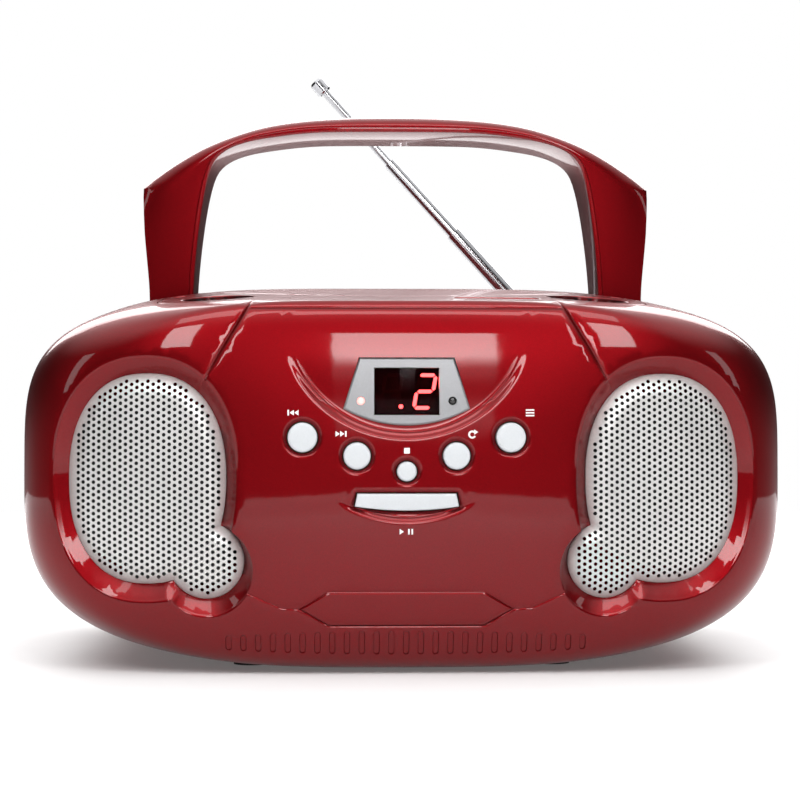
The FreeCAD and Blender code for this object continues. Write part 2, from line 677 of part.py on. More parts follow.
def make_disc_drive():
    """The disc mechanism under the well: chassis, motor, turntable, pickup, rods, screw and motor."""
    thick = "chassis_thick"
    slab = block("chassis_slab", ("2*chassis_half", 92, thick), ("-chassis_half", "lid_y-46", "chassis_z"))
    hole = rod("chassis_bore", 4, 4, (0, "lid_y", "chassis_z-1"))
    slot = block("chassis_slot", (62, 40, 4), (-8 + 20, "lid_y-20", "chassis_z-1"))
    node("cd_chassis", cut("cd_chassis", slab, [hole, slot]))
    dampers = []
    post_high = "well_floor-2-chassis_z-chassis_thick"
    posts = [(0, post_high), (4, post_high), (4, 0), (0, 0)]
    for n, (x, y) in enumerate(((-45, -54), (-45, 26), (45, -54), (45, 26))):
        dampers.append(turned(f"damper_{n}", posts, (x, y, "chassis_z+chassis_thick")))
    node("cd_dampers", group("cd_dampers", dampers))
    motor = [(1.1, "chassis_z-motor_high"), ("motor_radius", "chassis_z-motor_high"),
             ("motor_radius", "chassis_z"), (1.1, "chassis_z")]
    node("spindle_motor", turned("spindle_motor", motor, (0, "lid_y", 0)))
    table = [(0, "chassis_z-motor_high+1"), (1, "chassis_z-motor_high+1"), (1, "disc_z-3.5"),
             ("turntable", "disc_z-2"), ("turntable", "disc_z"), ("hub", "disc_z"), ("hub", "disc_z+1.2"),
             ("hub-1.6", "disc_z+2.6"), (0, "disc_z+2.6")]
    node("turntable", turned("turntable", table, (0, "lid_y", 0)))
    rods = [rod(f"guide_rod_{n}", "rod_radius", 62, (9, f"lid_y+{spread}*rod_spread", "chassis_z-6"), X_AXIS)
            for n, spread in enumerate((-1, 1))]
    node("guide_rods", group("guide_rods", rods))
    sled = block("pickup_sled", (20, 44, 9), ("pickup_x-10", "lid_y-22", "chassis_z-11"))
    screw_at = "lid_y+rod_spread+8"
    bores = [rod(f"pickup_bore_{n}", "rod_radius+0.08", 40, ("pickup_x-20", across, "chassis_z-6"), X_AXIS)
             for n, across in enumerate(("lid_y-rod_spread", "lid_y+rod_spread", screw_at))]
    tower = block("pickup_tower", (14, 12, 6.4), ("pickup_x-7", "lid_y-6", "chassis_z-2"))
    lens = rod("pickup_lens", 3.2, 2.4, ("pickup_x", "lid_y", "chassis_z+4.4"))
    nut = block("pickup_nut", (8, 10, 5), ("pickup_x-4", "lid_y+22", "chassis_z-8.5"))
    drilled = cut("pickup_drilled", fused("pickup_whole", [sled, nut]), bores)
    node("laser_pickup", fused("laser_pickup", [drilled, tower, lens]))
    node("lead_screw", rod("lead_screw", "rod_radius", 60, (10, screw_at, "chassis_z-6"), X_AXIS))
    node("sled_motor", rod("sled_motor", 5, 18, (-8.3, screw_at, "chassis_z-6"), X_AXIS))


# ---------------------------------------------------------------- handle

def handle_outline(points, corner):
    """An arched outline in the XZ plane through points on its right half, mirrored and smoothed."""
    mirrored = [Vector(-p.x, p.y, p.z) for p in reversed(points) if p.x > 0]
    curve = Part.BSplineCurve()
    curve.interpolate(points + mirrored)
    low = corner
    return [curve.toShape(),
            Part.makeLine(mirrored[-1], Vector(mirrored[-1].x, 0, low)),
            Part.makeLine(Vector(mirrored[-1].x, 0, low), Vector(points[0].x, 0, low)),
            Part.makeLine(Vector(points[0].x, 0, low), points[0])]


def make_handle():
    """The carrying handle: a deep arched band whose legs taper to the pivots."""
    pivot_y, pivot_z, top = dim("handle_y"), dim("handle_pivot_z"), dim("handle_top")
    leg_out, leg_in = dim("leg_out"), dim("leg_in")
    rise = top - pivot_z
    outer = [Vector(leg_out, 0, pivot_z), Vector(leg_out + 0.6, 0, pivot_z + 0.32 * rise),
             Vector(leg_out + 2, 0, pivot_z + 0.6 * rise), Vector(leg_out - 2, 0, pivot_z + 0.76 * rise),
             Vector(leg_out - 20, 0, pivot_z + 0.9 * rise), Vector(48, 0, top - 2.6), Vector(0, 0, top)]
    inner = [Vector(leg_in, 0, pivot_z), Vector(leg_in - 1.4, 0, pivot_z + 0.32 * rise),
             Vector(leg_in - 4.4, 0, pivot_z + 0.6 * rise), Vector(leg_in - 8, 0, pivot_z + 0.74 * rise),
             Vector(48, 0, top - 10.5), Vector(0, 0, top - 9)]
    low = pivot_z - dim("handle_foot")
    band = along_y(face_of(handle_outline(outer, low)), length=300)
    band = band.cut(along_y(face_of(handle_outline(inner, low - 1)), length=300))
    base, deep, foot = dim("handle_base_deep") / 2, dim("handle_deep") / 2, dim("handle_foot")
    side_view = Part.Face(Part.Wire([
        Part.Arc(Vector(0, pivot_y - foot, pivot_z), Vector(0, pivot_y, pivot_z - foot),
                 Vector(0, pivot_y + foot, pivot_z)).toShape(),
        Part.makeLine(Vector(0, pivot_y + foot, pivot_z), Vector(0, pivot_y + base, pivot_z + 11)),
        Part.makeLine(Vector(0, pivot_y + base, pivot_z + 11), Vector(0, pivot_y + deep, top + 5)),
        Part.makeLine(Vector(0, pivot_y + deep, top + 5), Vector(0, pivot_y - deep, top + 5)),
        Part.makeLine(Vector(0, pivot_y - deep, top + 5), Vector(0, pivot_y - base, pivot_z + 11)),
        Part.makeLine(Vector(0, pivot_y - base, pivot_z + 11), Vector(0, pivot_y - foot, pivot_z))]))
    side_view.translate(Vector(-120, 0, 0))
    handle = band.common(side_view.extrude(Vector(240, 0, 0)))
    bore = Part.makeCylinder(4.06, 240, Vector(-120, pivot_y, pivot_z), X_AXIS)
    node("carry_handle", shaped("carry_handle", one_solid(handle.cut(bore))))
    pins = [rod(f"handle_pin_{n}", 4, "channel_out-channel_in", (x, "handle_y", "handle_pivot_z"), X_AXIS)
            for n, x in enumerate(("channel_in", "-channel_out"))]
    node("handle_pivot_pins", group("handle_pivot_pins", pins))


# ---------------------------------------------------------------- aerial

def make_aerial():
    """The telescopic aerial: swivel, tilt knuckle, three tubes and a tip."""
    pivot = ("aerial_x", "aerial_y", "aerial_z")
    lean = math.radians(dim("aerial_lean"))
    along = Vector(-math.sin(lean), 0, math.cos(lean))
    across = Vector(math.cos(lean), 0, math.sin(lean))
    disc_part = rod("swivel_disc", 6, 2.2, ("aerial_x", "notch_front+0.1", "aerial_z"), Y_AXIS)
    fork = rod("swivel_fork", 4.6, "aerial_y-notch_front-1", ("aerial_x", "notch_front+1", "aerial_z"), Y_AXIS)
    slot = doc.addObject("Part::Box", "swivel_slot")
    for prop, value in (("Length", 5.2), ("Width", 14), ("Height", 14)):
        drive(slot, prop, value)
    turn = FreeCAD.Rotation(across, Y_AXIS, along, "XYZ")
    reach = turn.multVec(Vector(-2.6, -3.6, -7))
    slot.Placement = FreeCAD.Placement(Vector(), turn)
    for letter, value in zip("xyz", zip(pivot, reach)):
        drive(slot, f"Placement.Base.{letter}", f"{value[0]}+{value[1]}")
    node("aerial_swivel", cut("aerial_swivel", fused("swivel_whole", [disc_part, fork]), [slot]))
    first = [(0, 0), (2, 0), (2, 5), ("mast_radius", 5), ("mast_radius", "mast_length"),
             ("mast_2_radius+mast_fit", "mast_length"), ("mast_2_radius+mast_fit", 6), (0, 6)]
    tube = turned("mast_tube", first, pivot, along)
    knuckle_at = tuple(f"{p}-2.4*{a}" for p, a in zip(pivot, across))
    knuckle = rod("mast_knuckle", 3.2, 4.8, knuckle_at, across)
    node("aerial_mast_1", fused("aerial_mast_1", [tube, knuckle]))
    second = [("mast_3_radius+mast_fit", "mast_length-12"), ("mast_2_radius", "mast_length-12"),
              ("mast_2_radius", "mast_length+mast_shown"), ("mast_3_radius+mast_fit", "mast_length+mast_shown")]
    node("aerial_mast_2", turned("aerial_mast_2", second, pivot, along))
    start = "mast_length+mast_shown-12"
    third = [(0, start), ("mast_3_radius", start), ("mast_3_radius", "mast_length+2*mast_shown"),
             (0, "mast_length+2*mast_shown")]
    tube = turned("mast_3_tube", third, pivot, along)
    top = "mast_length+2*mast_shown"
    tip = [(0, top), (2.4, top), (2.85, f"{top}+0.5"), (2.85, f"{top}+4.9"), (2.2, f"{top}+5.8"),
           (0, f"{top}+5.8")]
    node("aerial_mast_3", fused("aerial_mast_3", [tube, turned("mast_tip", tip, pivot, along)]))


# ---------------------------------------------------------------- power and main board

def make_power():
    """The battery door and contacts, the mains inlet, the transformer and the headphone socket."""
    half, low, high = dim("battery_half") - 0.4, dim("battery_low") + 0.8, dim("battery_high") - 0.4
    door = skin(0, 2, box((-half, 60, low), (half, 150, high)))
    pin_at = Vector(-half - 1.4, dim("door_hinge_y"), dim("door_hinge_z"))
    door = door.fuse(Part.makeCylinder(dim("door_pin"), 2 * half + 2.8, pin_at, X_AXIS))
    node("battery_door", shaped("battery_door", one_solid(door)))
    springs = []
    for n in range(3):
        z = f"battery_low+{9 + n * 16}"
        for word, x in (("left", "-battery_half"), ("right", "battery_half-1")):
            springs.append(block(f"contact_{word}_{n}", (1, 22, 12), (x, "battery_front+8", z + "-6")))
    node("battery_contacts", group("battery_contacts", springs))
    shell = block("inlet_shell", (21.6, 15, 15.6), ("inlet_x-10.8", "rear_y-20", "inlet_z-7.8"))
    socket = block("inlet_socket", (15, 12, 8.5), ("inlet_x-7.5", "rear_y-16", "inlet_z-4.25"))
    blades = [rod(f"inlet_blade_{n}", 1.2, 10, (f"inlet_x+{x}", "rear_y-17", "inlet_z"), Y_AXIS)
              for n, x in enumerate((-3.8, 3.8))]
    node("mains_inlet", fused("mains_inlet", [cut("inlet_cup", shell, [socket])] + blades))
    core = block("transformer_core", (36, 24, 32), (-98, 42, 19))
    coil = block("transformer_coil", (24, 34, 20), (-92, 37, 25))
    node("transformer", fused("transformer", [core, coil]))
    jack = [("jack_radius", 0), (3.9, 0), (3.9, 6), (4.6, 6), (4.6, 14), ("jack_radius", 14)]
    node("headphone_socket", turned("headphone_socket", jack, ("jack_x", "rear_y-3.5", "jack_z"), -Y_AXIS))


def make_main_board():
    """The main board on the floor of the cabinet, with its heat sink and capacitors."""
    fins = [block(f"fin_{n}", (1.4, 14, 22), (-34 + 6 * n, -60, 17.6)) for n in range(6)]
    sink = [block("sink_base", (34, 14, 2.2), (-35, -60, "14+board"))] + fins
    node("heat_sink", fused("heat_sink", sink))
    can = [(0, 0), (5, 0), (5, 16), (0, 16)]
    cans = [turned(f"can_{n}", can, (x, y, "14+board")) for n, (x, y) in enumerate(
        ((20, -50), (34, -50), (20, -34), (44, -20)))]
    board = block("main_board_slab", (116, 96, "board"), (-58, -72, 14))
    node("main_board", fused("main_board", [board] + cans))


MAKERS = (make_front_cabinet, make_rear_cabinet, make_top_deck, make_lid, make_badge, make_feet,
          make_screws, make_speakers, make_display, make_keys, make_front_board, make_knobs,
          make_control_boards, make_dial, make_disc_drive, make_handle, make_aerial, make_power,
          make_main_board)
for maker in MAKERS:
    maker()
doc.recompute()

for thing in doc.Objects:
    if "Invalid" in thing.State or "Error" in thing.State:
        raise RuntimeError(f"{thing.Label} failed: {thing.State}")
for label, thing in nodes.items():
    if thing.Shape.isNull() or not thing.Shape.isValid():
        raise RuntimeError(f"{label} has no valid shape")

os.makedirs("parts", exist_ok=True)
for label, thing in nodes.items():
    thing.Shape.exportStep(f"parts/{label}.step")
print(len(nodes), "sub-parts written")
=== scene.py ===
import bpy
import bmesh
import math
import numpy as np
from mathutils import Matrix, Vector
from mathutils.geometry import delaunay_2d_cdt

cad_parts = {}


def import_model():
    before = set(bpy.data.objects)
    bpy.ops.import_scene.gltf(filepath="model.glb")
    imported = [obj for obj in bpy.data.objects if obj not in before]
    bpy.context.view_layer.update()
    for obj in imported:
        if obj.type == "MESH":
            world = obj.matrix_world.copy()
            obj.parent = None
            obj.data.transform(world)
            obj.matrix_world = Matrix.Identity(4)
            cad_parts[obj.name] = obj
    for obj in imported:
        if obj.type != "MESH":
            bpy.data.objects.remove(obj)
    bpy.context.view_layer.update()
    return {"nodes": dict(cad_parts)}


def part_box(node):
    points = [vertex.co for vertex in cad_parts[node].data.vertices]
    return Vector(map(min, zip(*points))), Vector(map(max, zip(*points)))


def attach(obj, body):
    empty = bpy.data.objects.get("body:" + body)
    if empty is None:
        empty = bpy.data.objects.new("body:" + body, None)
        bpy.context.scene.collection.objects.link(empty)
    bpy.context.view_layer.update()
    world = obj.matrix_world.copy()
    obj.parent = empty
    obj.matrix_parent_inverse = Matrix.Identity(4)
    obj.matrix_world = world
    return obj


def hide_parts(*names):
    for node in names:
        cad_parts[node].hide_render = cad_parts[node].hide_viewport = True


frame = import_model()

# Sizes are in millimetres, in the CAD model's frame: the front faces -Y and +Z is up.
MM = 0.001
SIDES = ((-1, "left"), (1, "right"))


def node_box(name):
    """A CAD node's lowest and highest corners, in millimetres."""
    low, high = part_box(name)
    return np.array(low) / MM, np.array(high) / MM


KEY_FRONT = node_box("button_stop")[0][1]
DISPLAY_FRONT = node_box("led_display")[0][1]
WINDOW_FRONT = node_box("display_window")[0][1]

# ------------------------------------------------------------------ the cabinet's skin

HALF_WIDTH = 120.0
BODY_LOW = 1.5
WAIST_Z = 62.0
FRONT_TOP = 113.5
CROWN_TOP = 125.0
CROWN_Y = 5.0
CROWN_POWER = 1.3
REAR_DROP = 14.0
FRONT_Y = -106.0
REAR_Y = 107.0
PARTING_Y = -45.0
SIDE_ROLL, SIDE_POWER = 42.0, 3
TOP_ROLL, TOP_POWER = 8.0, 2
LOW_ROLL, LOW_POWER = 16.0, 2.4
REAR_ROLL = 22.0
UPPER_POWER = 4.0
LOWER_POWER = 3.3
SEARCH_STEPS = 44


def columns(*values):
    """Places from their coordinates, any of which may be one number for all of them."""
    return np.stack(np.broadcast_arrays(*values), -1).astype(float)


def roll(depth, length, power):
    """How much of its full size a section has at a depth behind a rolled edge."""
    left = np.clip(1 - np.asarray(depth, float) / length, 0, 1)
    return np.clip(1 - left ** power, 0, 1) ** (1 / power)


def crown(y):
    """The height of the skin over the middle."""
    ahead = np.clip((CROWN_Y - y) / (CROWN_Y - FRONT_Y), 0, 1)
    behind = np.clip((y - CROWN_Y) / (REAR_Y - CROWN_Y), 0, 1)
    return CROWN_TOP - (CROWN_TOP - FRONT_TOP) * ahead ** CROWN_POWER - REAR_DROP * behind ** 2


def section(y):
    """Half width, height above and depth below the waist of the skin's section square to Y."""
    y = np.asarray(y, float)
    back = roll(REAR_Y - y, REAR_ROLL, SIDE_POWER)
    half = HALF_WIDTH * roll(y - FRONT_Y, SIDE_ROLL, SIDE_POWER) * back
    up = (crown(y) - WAIST_Z) * roll(y - FRONT_Y, TOP_ROLL, TOP_POWER) * back
    down = (WAIST_Z - BODY_LOW) * roll(y - FRONT_Y, LOW_ROLL, LOW_POWER) * back
    return np.maximum(half, 1e-6), np.maximum(up, 1e-6), np.maximum(down, 1e-6)


def reach_at(c, s, power):
    """How far a squared-off circle reaches in a direction."""
    return (np.abs(c) ** power + np.abs(s) ** power) ** (-1 / power)


def skin_point(y, angle):
    """The skin's point at a section and an angle round it."""
    half, up, down = section(y)
    c, s = np.cos(angle), np.sin(angle)
    reach = reach_at(c, s, np.where(s > 0, UPPER_POWER, LOWER_POWER))
    return columns(half * reach * c, y, WAIST_Z + np.where(s > 0, up, down) * reach * s)


def outside(x, z, y):
    """Above zero where a place lies outside the section at y."""
    half, up, down = section(y)
    rise = z - WAIST_Z
    tall = np.where(rise > 0, up, down)
    power = np.where(rise > 0, UPPER_POWER, LOWER_POWER)
    return np.abs(x / half) ** power + np.abs(rise / tall) ** power - 1


def skin_depth(x, z, outer, inner):
    """The depth at which the skin passes a place, between an end of the cabinet and its full section."""
    x, z = np.asarray(x, float), np.asarray(z, float)
    outer, inner = np.full(x.shape, outer), np.full(x.shape, inner)
    for _ in range(SEARCH_STEPS):
        middle = (outer + inner) / 2
        out = outside(x, z, middle) > 0
        outer, inner = np.where(out, middle, outer), np.where(out, inner, middle)
    return (outer + inner) / 2


def front_y(x, z):
    return skin_depth(x, z, FRONT_Y, FRONT_Y + SIDE_ROLL)


def rear_y(x, z):
    return skin_depth(x, z, REAR_Y, REAR_Y - REAR_ROLL)


def top_z(x, y):
    """The height of the skin above a place seen from the top."""
    half, up, _ = section(y)
    return WAIST_Z + up * np.clip(1 - np.abs(x / half) ** UPPER_POWER, 0, 1) ** (1 / UPPER_POWER)


def top_over(line, drop=0.0):
    return top_z(line[:, 0], line[:, 1]) - drop


class Wrap:
    """Maps the skin to a flat sheet round one end of the cabinet, and back."""

    SAMPLES = 4000
    ACROSS, UP = 1.2, 0.6
    FACE_RUN, SIDE_RUN = 100, 0.9

    def __init__(self, end, length, depth_of):
        ramp = np.linspace(0, 1, self.SAMPLES) ** 3
        self.ys = end + ramp * (PARTING_Y - end)
        depth = np.abs(self.ys - end)
        self.run = self.FACE_RUN * roll(depth, length, SIDE_POWER) + self.SIDE_RUN * depth
        self.limit = self.run[-1]
        self.depth_of = depth_of

    def spread(self, run, angle):
        return columns(run * np.cos(angle) * self.ACROSS, run * np.sin(angle) * self.UP)

    def flat(self, x, y, z):
        half, up, down = section(y)
        rise = z - WAIST_Z
        angle = np.arctan2(rise / np.where(rise > 0, up, down), x / half)
        order = np.argsort(self.ys)
        return self.spread(np.interp(y, self.ys[order], self.run[order]), angle)

    def upright(self, line):
        """A line seen from the front or the back."""
        line = np.asarray(line, float)
        return self.flat(line[:, 0], self.depth_of(line[:, 0], line[:, 1]), line[:, 1])

    def from_top(self, line):
        line = np.asarray(line, float)
        return self.flat(line[:, 0], line[:, 1], top_over(line))

    def solid(self, points):
        across, up = points[:, 0] / self.ACROSS, points[:, 1] / self.UP
        run = np.minimum(np.hypot(across, up), self.limit)
        return skin_point(np.interp(run, self.run, self.ys), np.arctan2(up, across))

    def within(self, points):
        return np.hypot(points[:, 0] / self.ACROSS, points[:, 1] / self.UP) < self.limit

    def field(self, spacing):
        """Evenly spread places over the whole sheet, and its outer rim."""
        def ring(run, least, turn):
            steps = max(least, int(2 * math.pi * run * 0.9 / spacing))
            return self.spread(run, 2 * np.pi * (np.arange(steps) + turn) / steps)

        count = int(self.limit / spacing)
        rings = [ring(self.limit * n / count, 8, 0.5 * (n % 2)) for n in range(1, count)]
        return np.concatenate(rings), ring(self.limit, 0, 0)


# ------------------------------------------------------------------ flat outlines

def turns(count):
    return 2 * np.pi * np.arange(count) / count


def circle(x, z, radius, count=48):
    angle = turns(count)
    return columns(x + radius * np.cos(angle), z + radius * np.sin(angle))


def oval(x, z, half_x, half_z, power=2.3, count=140):
    c, s = np.cos(turns(count)), np.sin(turns(count))
    reach = reach_at(c, s, power)
    return columns(x + half_x * reach * c, z + half_z * reach * s)


def box_line(x_low, x_high, low, high):
    return np.array([(x_low, low), (x_high, low), (x_high, high), (x_low, high)])


def box_about(x, z, half_x, half_z):
    return box_line(x - half_x, x + half_x, z - half_z, z + half_z)


def dense(points, step, closed=True):
    """A polyline with its long runs divided."""
    points = np.asarray(points, float)
    ends = np.roll(points, -1, 0) if closed else points[1:]
    starts = points if closed else points[:-1]
    out = []
    for a, b in zip(starts, ends):
        n = max(1, int(round(np.linalg.norm(b - a) / step)))
        out += [a + (b - a) * k / n for k in range(n)]
    if not closed:
        out.append(points[-1])
    return np.array(out)


def edge_distance(points, line, closed=True):
    """How far places lie from a polyline, worked out in batches to save memory."""
    batch = 4000
    a = line if closed else line[:-1]
    b = np.roll(line, -1, 0) if closed else line[1:]
    d = b - a
    best = np.zeros(len(points))
    for start in range(0, len(points), batch):
        p = points[start:start + batch, None, :]
        along = np.clip(((p - a) * d).sum(-1) / np.maximum((d * d).sum(-1), 1e-12), 0, 1)
        gap = np.linalg.norm(p - (a + along[..., None] * d), axis=-1)
        best[start:start + batch] = gap.min(1)
    return best


def inside(points, loop):
    """Which places lie inside a closed outline."""
    x, y = points[:, 0], points[:, 1]
    result = np.zeros(len(points), bool)
    for (x1, y1), (x2, y2) in zip(loop, np.roll(loop, -1, 0)):
        crosses = (y1 > y) != (y2 > y)
        if y2 != y1:
            result ^= crosses & (x < x1 + (y - y1) * (x2 - x1) / (y2 - y1))
    return result


def signed(points, loop):
    """Distance from an outline, below zero inside it."""
    gap = edge_distance(points, loop)
    return np.where(inside(points, loop), -gap, gap)


def joined(a, b):
    """The outer outline of two closed outlines that overlap."""
    def opened(part):
        gaps = np.linalg.norm(np.roll(part, -1, 0) - part, axis=1)
        return np.roll(part, -(int(np.argmax(gaps)) + 1), 0)

    keep_a, keep_b = opened(a[~inside(a, b)]), opened(b[~inside(b, a)])
    if np.linalg.norm(keep_a[-1] - keep_b[0]) > np.linalg.norm(keep_a[-1] - keep_b[-1]):
        keep_b = keep_b[::-1]
    return np.concatenate([keep_a, keep_b])


def offset_line(line, gap, closed=True):
    """A polyline moved sideways."""
    if closed:
        ahead = np.roll(line, -1, 0) - np.roll(line, 1, 0)
    else:
        ahead = np.gradient(line, axis=0)
    ahead = ahead / np.maximum(np.linalg.norm(ahead, axis=1, keepdims=True), 1e-9)
    return line + gap * columns(ahead[:, 1], -ahead[:, 0])


def drawn_in(outline, gap):
    """A closed outline drawn in by a gap, or out where the gap is below zero."""
    moved = offset_line(outline, gap)
    wrong_way = gap * signed(moved[:1], outline)[0] > 0
    return offset_line(outline, -gap) if wrong_way else moved


def grid(xs, ys):
    """Every place on a grid."""
    xs, ys = np.meshgrid(xs, ys)
    return columns(xs.ravel(), ys.ravel())


def mirrored(points, side):
    """An outline drawn for the right side, moved to a side."""
    out = np.array(points, float)
    out[:, 0] *= side
    return out if side > 0 else out[::-1]


def ease(value):
    value = np.clip(value, 0, 1)
    return value * value * (3 - 2 * value)


# ------------------------------------------------------------------ meshes

def make_mesh(name, points, faces, material, body="cabinet", angle=35, replaces=(), slot=None):
    """A piece of the object from points in millimetres, shaded smooth below an angle."""
    mesh = bpy.data.meshes.new(name)
    mesh.from_pydata([tuple(p) for p in np.asarray(points) * MM], [],
                     [tuple(int(i) for i in f) for f in faces])
    mesh.validate()
    piece = bpy.data.objects.new(name, mesh)
    bpy.context.collection.objects.link(piece)
    tidy = bmesh.new()
    tidy.from_mesh(mesh)
    bmesh.ops.remove_doubles(tidy, verts=tidy.verts, dist=1e-7)
    bmesh.ops.recalc_face_normals(tidy, faces=tidy.faces)
    tidy.to_mesh(mesh)
    tidy.free()
    mesh.materials.append(material)
    mesh.shade_smooth()
    mesh.set_sharp_from_angle(angle=math.radians(angle))
    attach(piece, body)
    if replaces:
        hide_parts(*replaces)


def triangulated(loops, field, clear):
    """Triangles over a field of places and the outlines through it, in the flat sheet."""
    points, edges = [], []
    keep = np.ones(len(field), bool)
    for loop, closed in loops:
        line = np.asarray(loop)
        first, count = len(points), len(line)
        points += [Vector(p) for p in line]
        last = count if closed else count - 1
        edges += [(first + n, first + (n + 1) % count) for n in range(last)]
        low, high = line.min(0) - clear, line.max(0) + clear
        index = np.nonzero(keep & (field > low).all(1) & (field < high).all(1))[0]
        if len(index):
            keep[index] = edge_distance(field[index], line, closed) > clear
    points += [Vector(p) for p in field[keep]]
    verts, _, faces, _, _, _ = delaunay_2d_cdt(points, edges, [], 0, 1e-5)
    return np.array([tuple(v) for v in verts]), np.array([tuple(f) for f in faces])


def cut_out(flat, faces, outline, holes=()):
    """The faces inside an outline and outside its holes."""
    middles = flat[faces].mean(1)
    keep = inside(middles, outline)
    for hole in holes:
        keep &= ~inside(middles, hole)
    return faces[keep]


def rim_walls(points, faces, shift):
    """Adds walls that run in from every open edge of a sheet, by a shift."""
    count = {}
    for face in faces:
        for a, b in zip(face, np.roll(face, -1)):
            count.setdefault((min(a, b), max(a, b)), []).append((a, b))
    open_edges = [pairs[0] for pairs in count.values() if len(pairs) == 1]
    used = sorted({i for edge in open_edges for i in edge})
    place = {i: len(points) + n for n, i in enumerate(used)}
    extra = points[used] + (shift(points[used]) if callable(shift) else np.asarray(shift))
    walls = []
    for a, b in open_edges:
        walls += [(b, a, place[a]), (b, place[a], place[b])]
    return np.concatenate([points, extra]), [tuple(f) for f in faces] + walls


def skinned(rows, closed=True, caps=()):
    """Faces between rows of as many places each, with flat caps on some of the rows."""
    count = len(rows[0])
    steps = count if closed else count - 1
    faces = []
    for a in range(0, (len(rows) - 1) * count, count):
        for n in range(steps):
            m = (n + 1) % count
            faces.append((a + n, a + m, a + count + m, a + count + n))
    faces += [tuple(range(k * count, (k + 1) * count)) for k in caps]
    return np.concatenate(rows), faces


def lathe(profile, centre, count=56):
    """A turned form about an axis along Y: the profile gives radius and depth."""
    rows = []
    for radius, y in profile:
        ring = circle(*centre, radius, count)
        rows.append(columns(ring[:, 0], y, ring[:, 1]))
    return skinned(rows, caps=(0,))


def prism(outline, front, back, round_over=0.35, steps=4, caps=(0,)):
    """A flat-faced form with a rounded front edge, from its outline seen from the front."""
    outline = np.asarray(outline, float)
    rows = []
    for n in range(steps + 1):
        angle = math.pi / 2 * n / steps
        ring = drawn_in(outline, round_over * (1 - math.sin(angle)))
        rows.append(columns(ring[:, 0], front + round_over * (1 - math.cos(angle)), ring[:, 1]))
    rows.append(columns(outline[:, 0], back, outline[:, 1]))
    return skinned(rows, caps=caps)


# ------------------------------------------------------------------ materials

def node(tree, kind, **values):
    made = tree.nodes.new(kind)
    for key, value in values.items():
        socket = key.replace("_", " ")
        if socket in made.inputs:
            made.inputs[socket].default_value = value
        else:
            setattr(made, key, value)
    return made


def wire(tree, *links):
    """Joins sockets: each link gives a node, its output, the next node and its input."""
    for source, output, target, socket in links:
        tree.links.new(source.outputs[output], target.inputs[socket])


def finish_of(name, colour, rough, metal=0.0, coat=0.0, coat_rough=0.03, grain=900.0, spread=0.06,
              bump=0.05, rough_spread=0.06, peel=0.0, **sockets):
    """A surface whose colour, roughness and relief vary with a fine grain."""
    material = bpy.data.materials.new(name)
    material.use_nodes = True
    tree = material.node_tree
    shader = tree.nodes["Principled BSDF"]
    sockets.update(Metallic=metal, Coat_Weight=coat, Coat_Roughness=coat_rough)
    for key, value in sockets.items():
        shader.inputs[key.replace("_", " ")].default_value = value
    place = node(tree, "ShaderNodeTexCoord")
    fine = node(tree, "ShaderNodeTexNoise", Scale=grain, Detail=3.0, Roughness=0.6)
    ramp = node(tree, "ShaderNodeValToRGB")
    for stop, position, share in zip(ramp.color_ramp.elements, (0.3, 0.7), (1 - spread, 1 + spread)):
        stop.position = position
        stop.color = tuple(min(1, c * share) for c in colour) + (1,)
    wide = node(tree, "ShaderNodeTexNoise", Scale=55.0, Detail=4.0)
    spans = node(tree, "ShaderNodeMapRange", To_Min=max(0.0, rough - rough_spread),
                 To_Max=rough + rough_spread)
    relief = node(tree, "ShaderNodeBump", Strength=bump, Distance=0.0001)
    wire(tree, (place, "Object", fine, "Vector"), (fine, "Fac", ramp, "Fac"),
         (ramp, "Color", shader, "Base Color"), (place, "Object", wide, "Vector"),
         (wide, "Fac", spans, "Value"), (spans, "Result", shader, "Roughness"),
         (fine, "Fac", relief, "Height"), (relief, "Normal", shader, "Normal"))
    if peel:
        soft = node(tree, "ShaderNodeTexNoise", Scale=260.0, Detail=1.0)
        skin = node(tree, "ShaderNodeBump", Strength=peel, Distance=0.0001)
        wire(tree, (place, "Object", soft, "Vector"), (soft, "Fac", skin, "Height"),
             (skin, "Normal", shader, "Coat Normal"))
    return material


def glowing(name, colour, strength, dark):
    """A lamp's lens: dark plastic that glows."""
    return finish_of(name, dark, 0.25, grain=1500, spread=0.2, bump=0.03,
                     Emission_Color=colour + (1,), Emission_Strength=strength)


RED = finish_of("red_gloss", (0.17, 0.0004, 0.0026), 0.40, metal=0.94, coat=0.55, coat_rough=0.035,
                grain=3800, spread=0.22, bump=0.03, rough_spread=0.03, peel=0.05)
SILVER_KEY = finish_of("silver_key", (0.55, 0.57, 0.59), 0.42, grain=2600, spread=0.03, bump=0.06)
SILVER = finish_of("silver_bezel", (0.26, 0.26, 0.27), 0.38, metal=0.35, grain=3000)
MESH_METAL = finish_of("grille_metal", (0.60, 0.59, 0.58), 0.38, metal=0.45, grain=1400, bump=0.06)
BLACK = finish_of("black_plastic", (0.012, 0.012, 0.013), 0.42, grain=1800, spread=0.25, bump=0.25)
CHROME = finish_of("chrome", (0.50, 0.50, 0.52), 0.16, metal=1.0, grain=600, spread=0.02, bump=0.01,
                   rough_spread=0.03)
STEEL = finish_of("steel", (0.52, 0.52, 0.53), 0.32, metal=1.0, spread=0.08, bump=0.08)
BOARD = finish_of("board", (0.05, 0.16, 0.05), 0.45, grain=500, spread=0.25, bump=0.1)
PAPER = finish_of("paper", (0.02, 0.02, 0.021), 0.85, grain=700, spread=0.3, bump=0.5)
RUBBER = finish_of("rubber", (0.018, 0.018, 0.018), 0.8, grain=1200, spread=0.3, bump=0.4)
BRASS = finish_of("brass", (0.62, 0.42, 0.14), 0.3, metal=1.0, spread=0.08, bump=0.06)
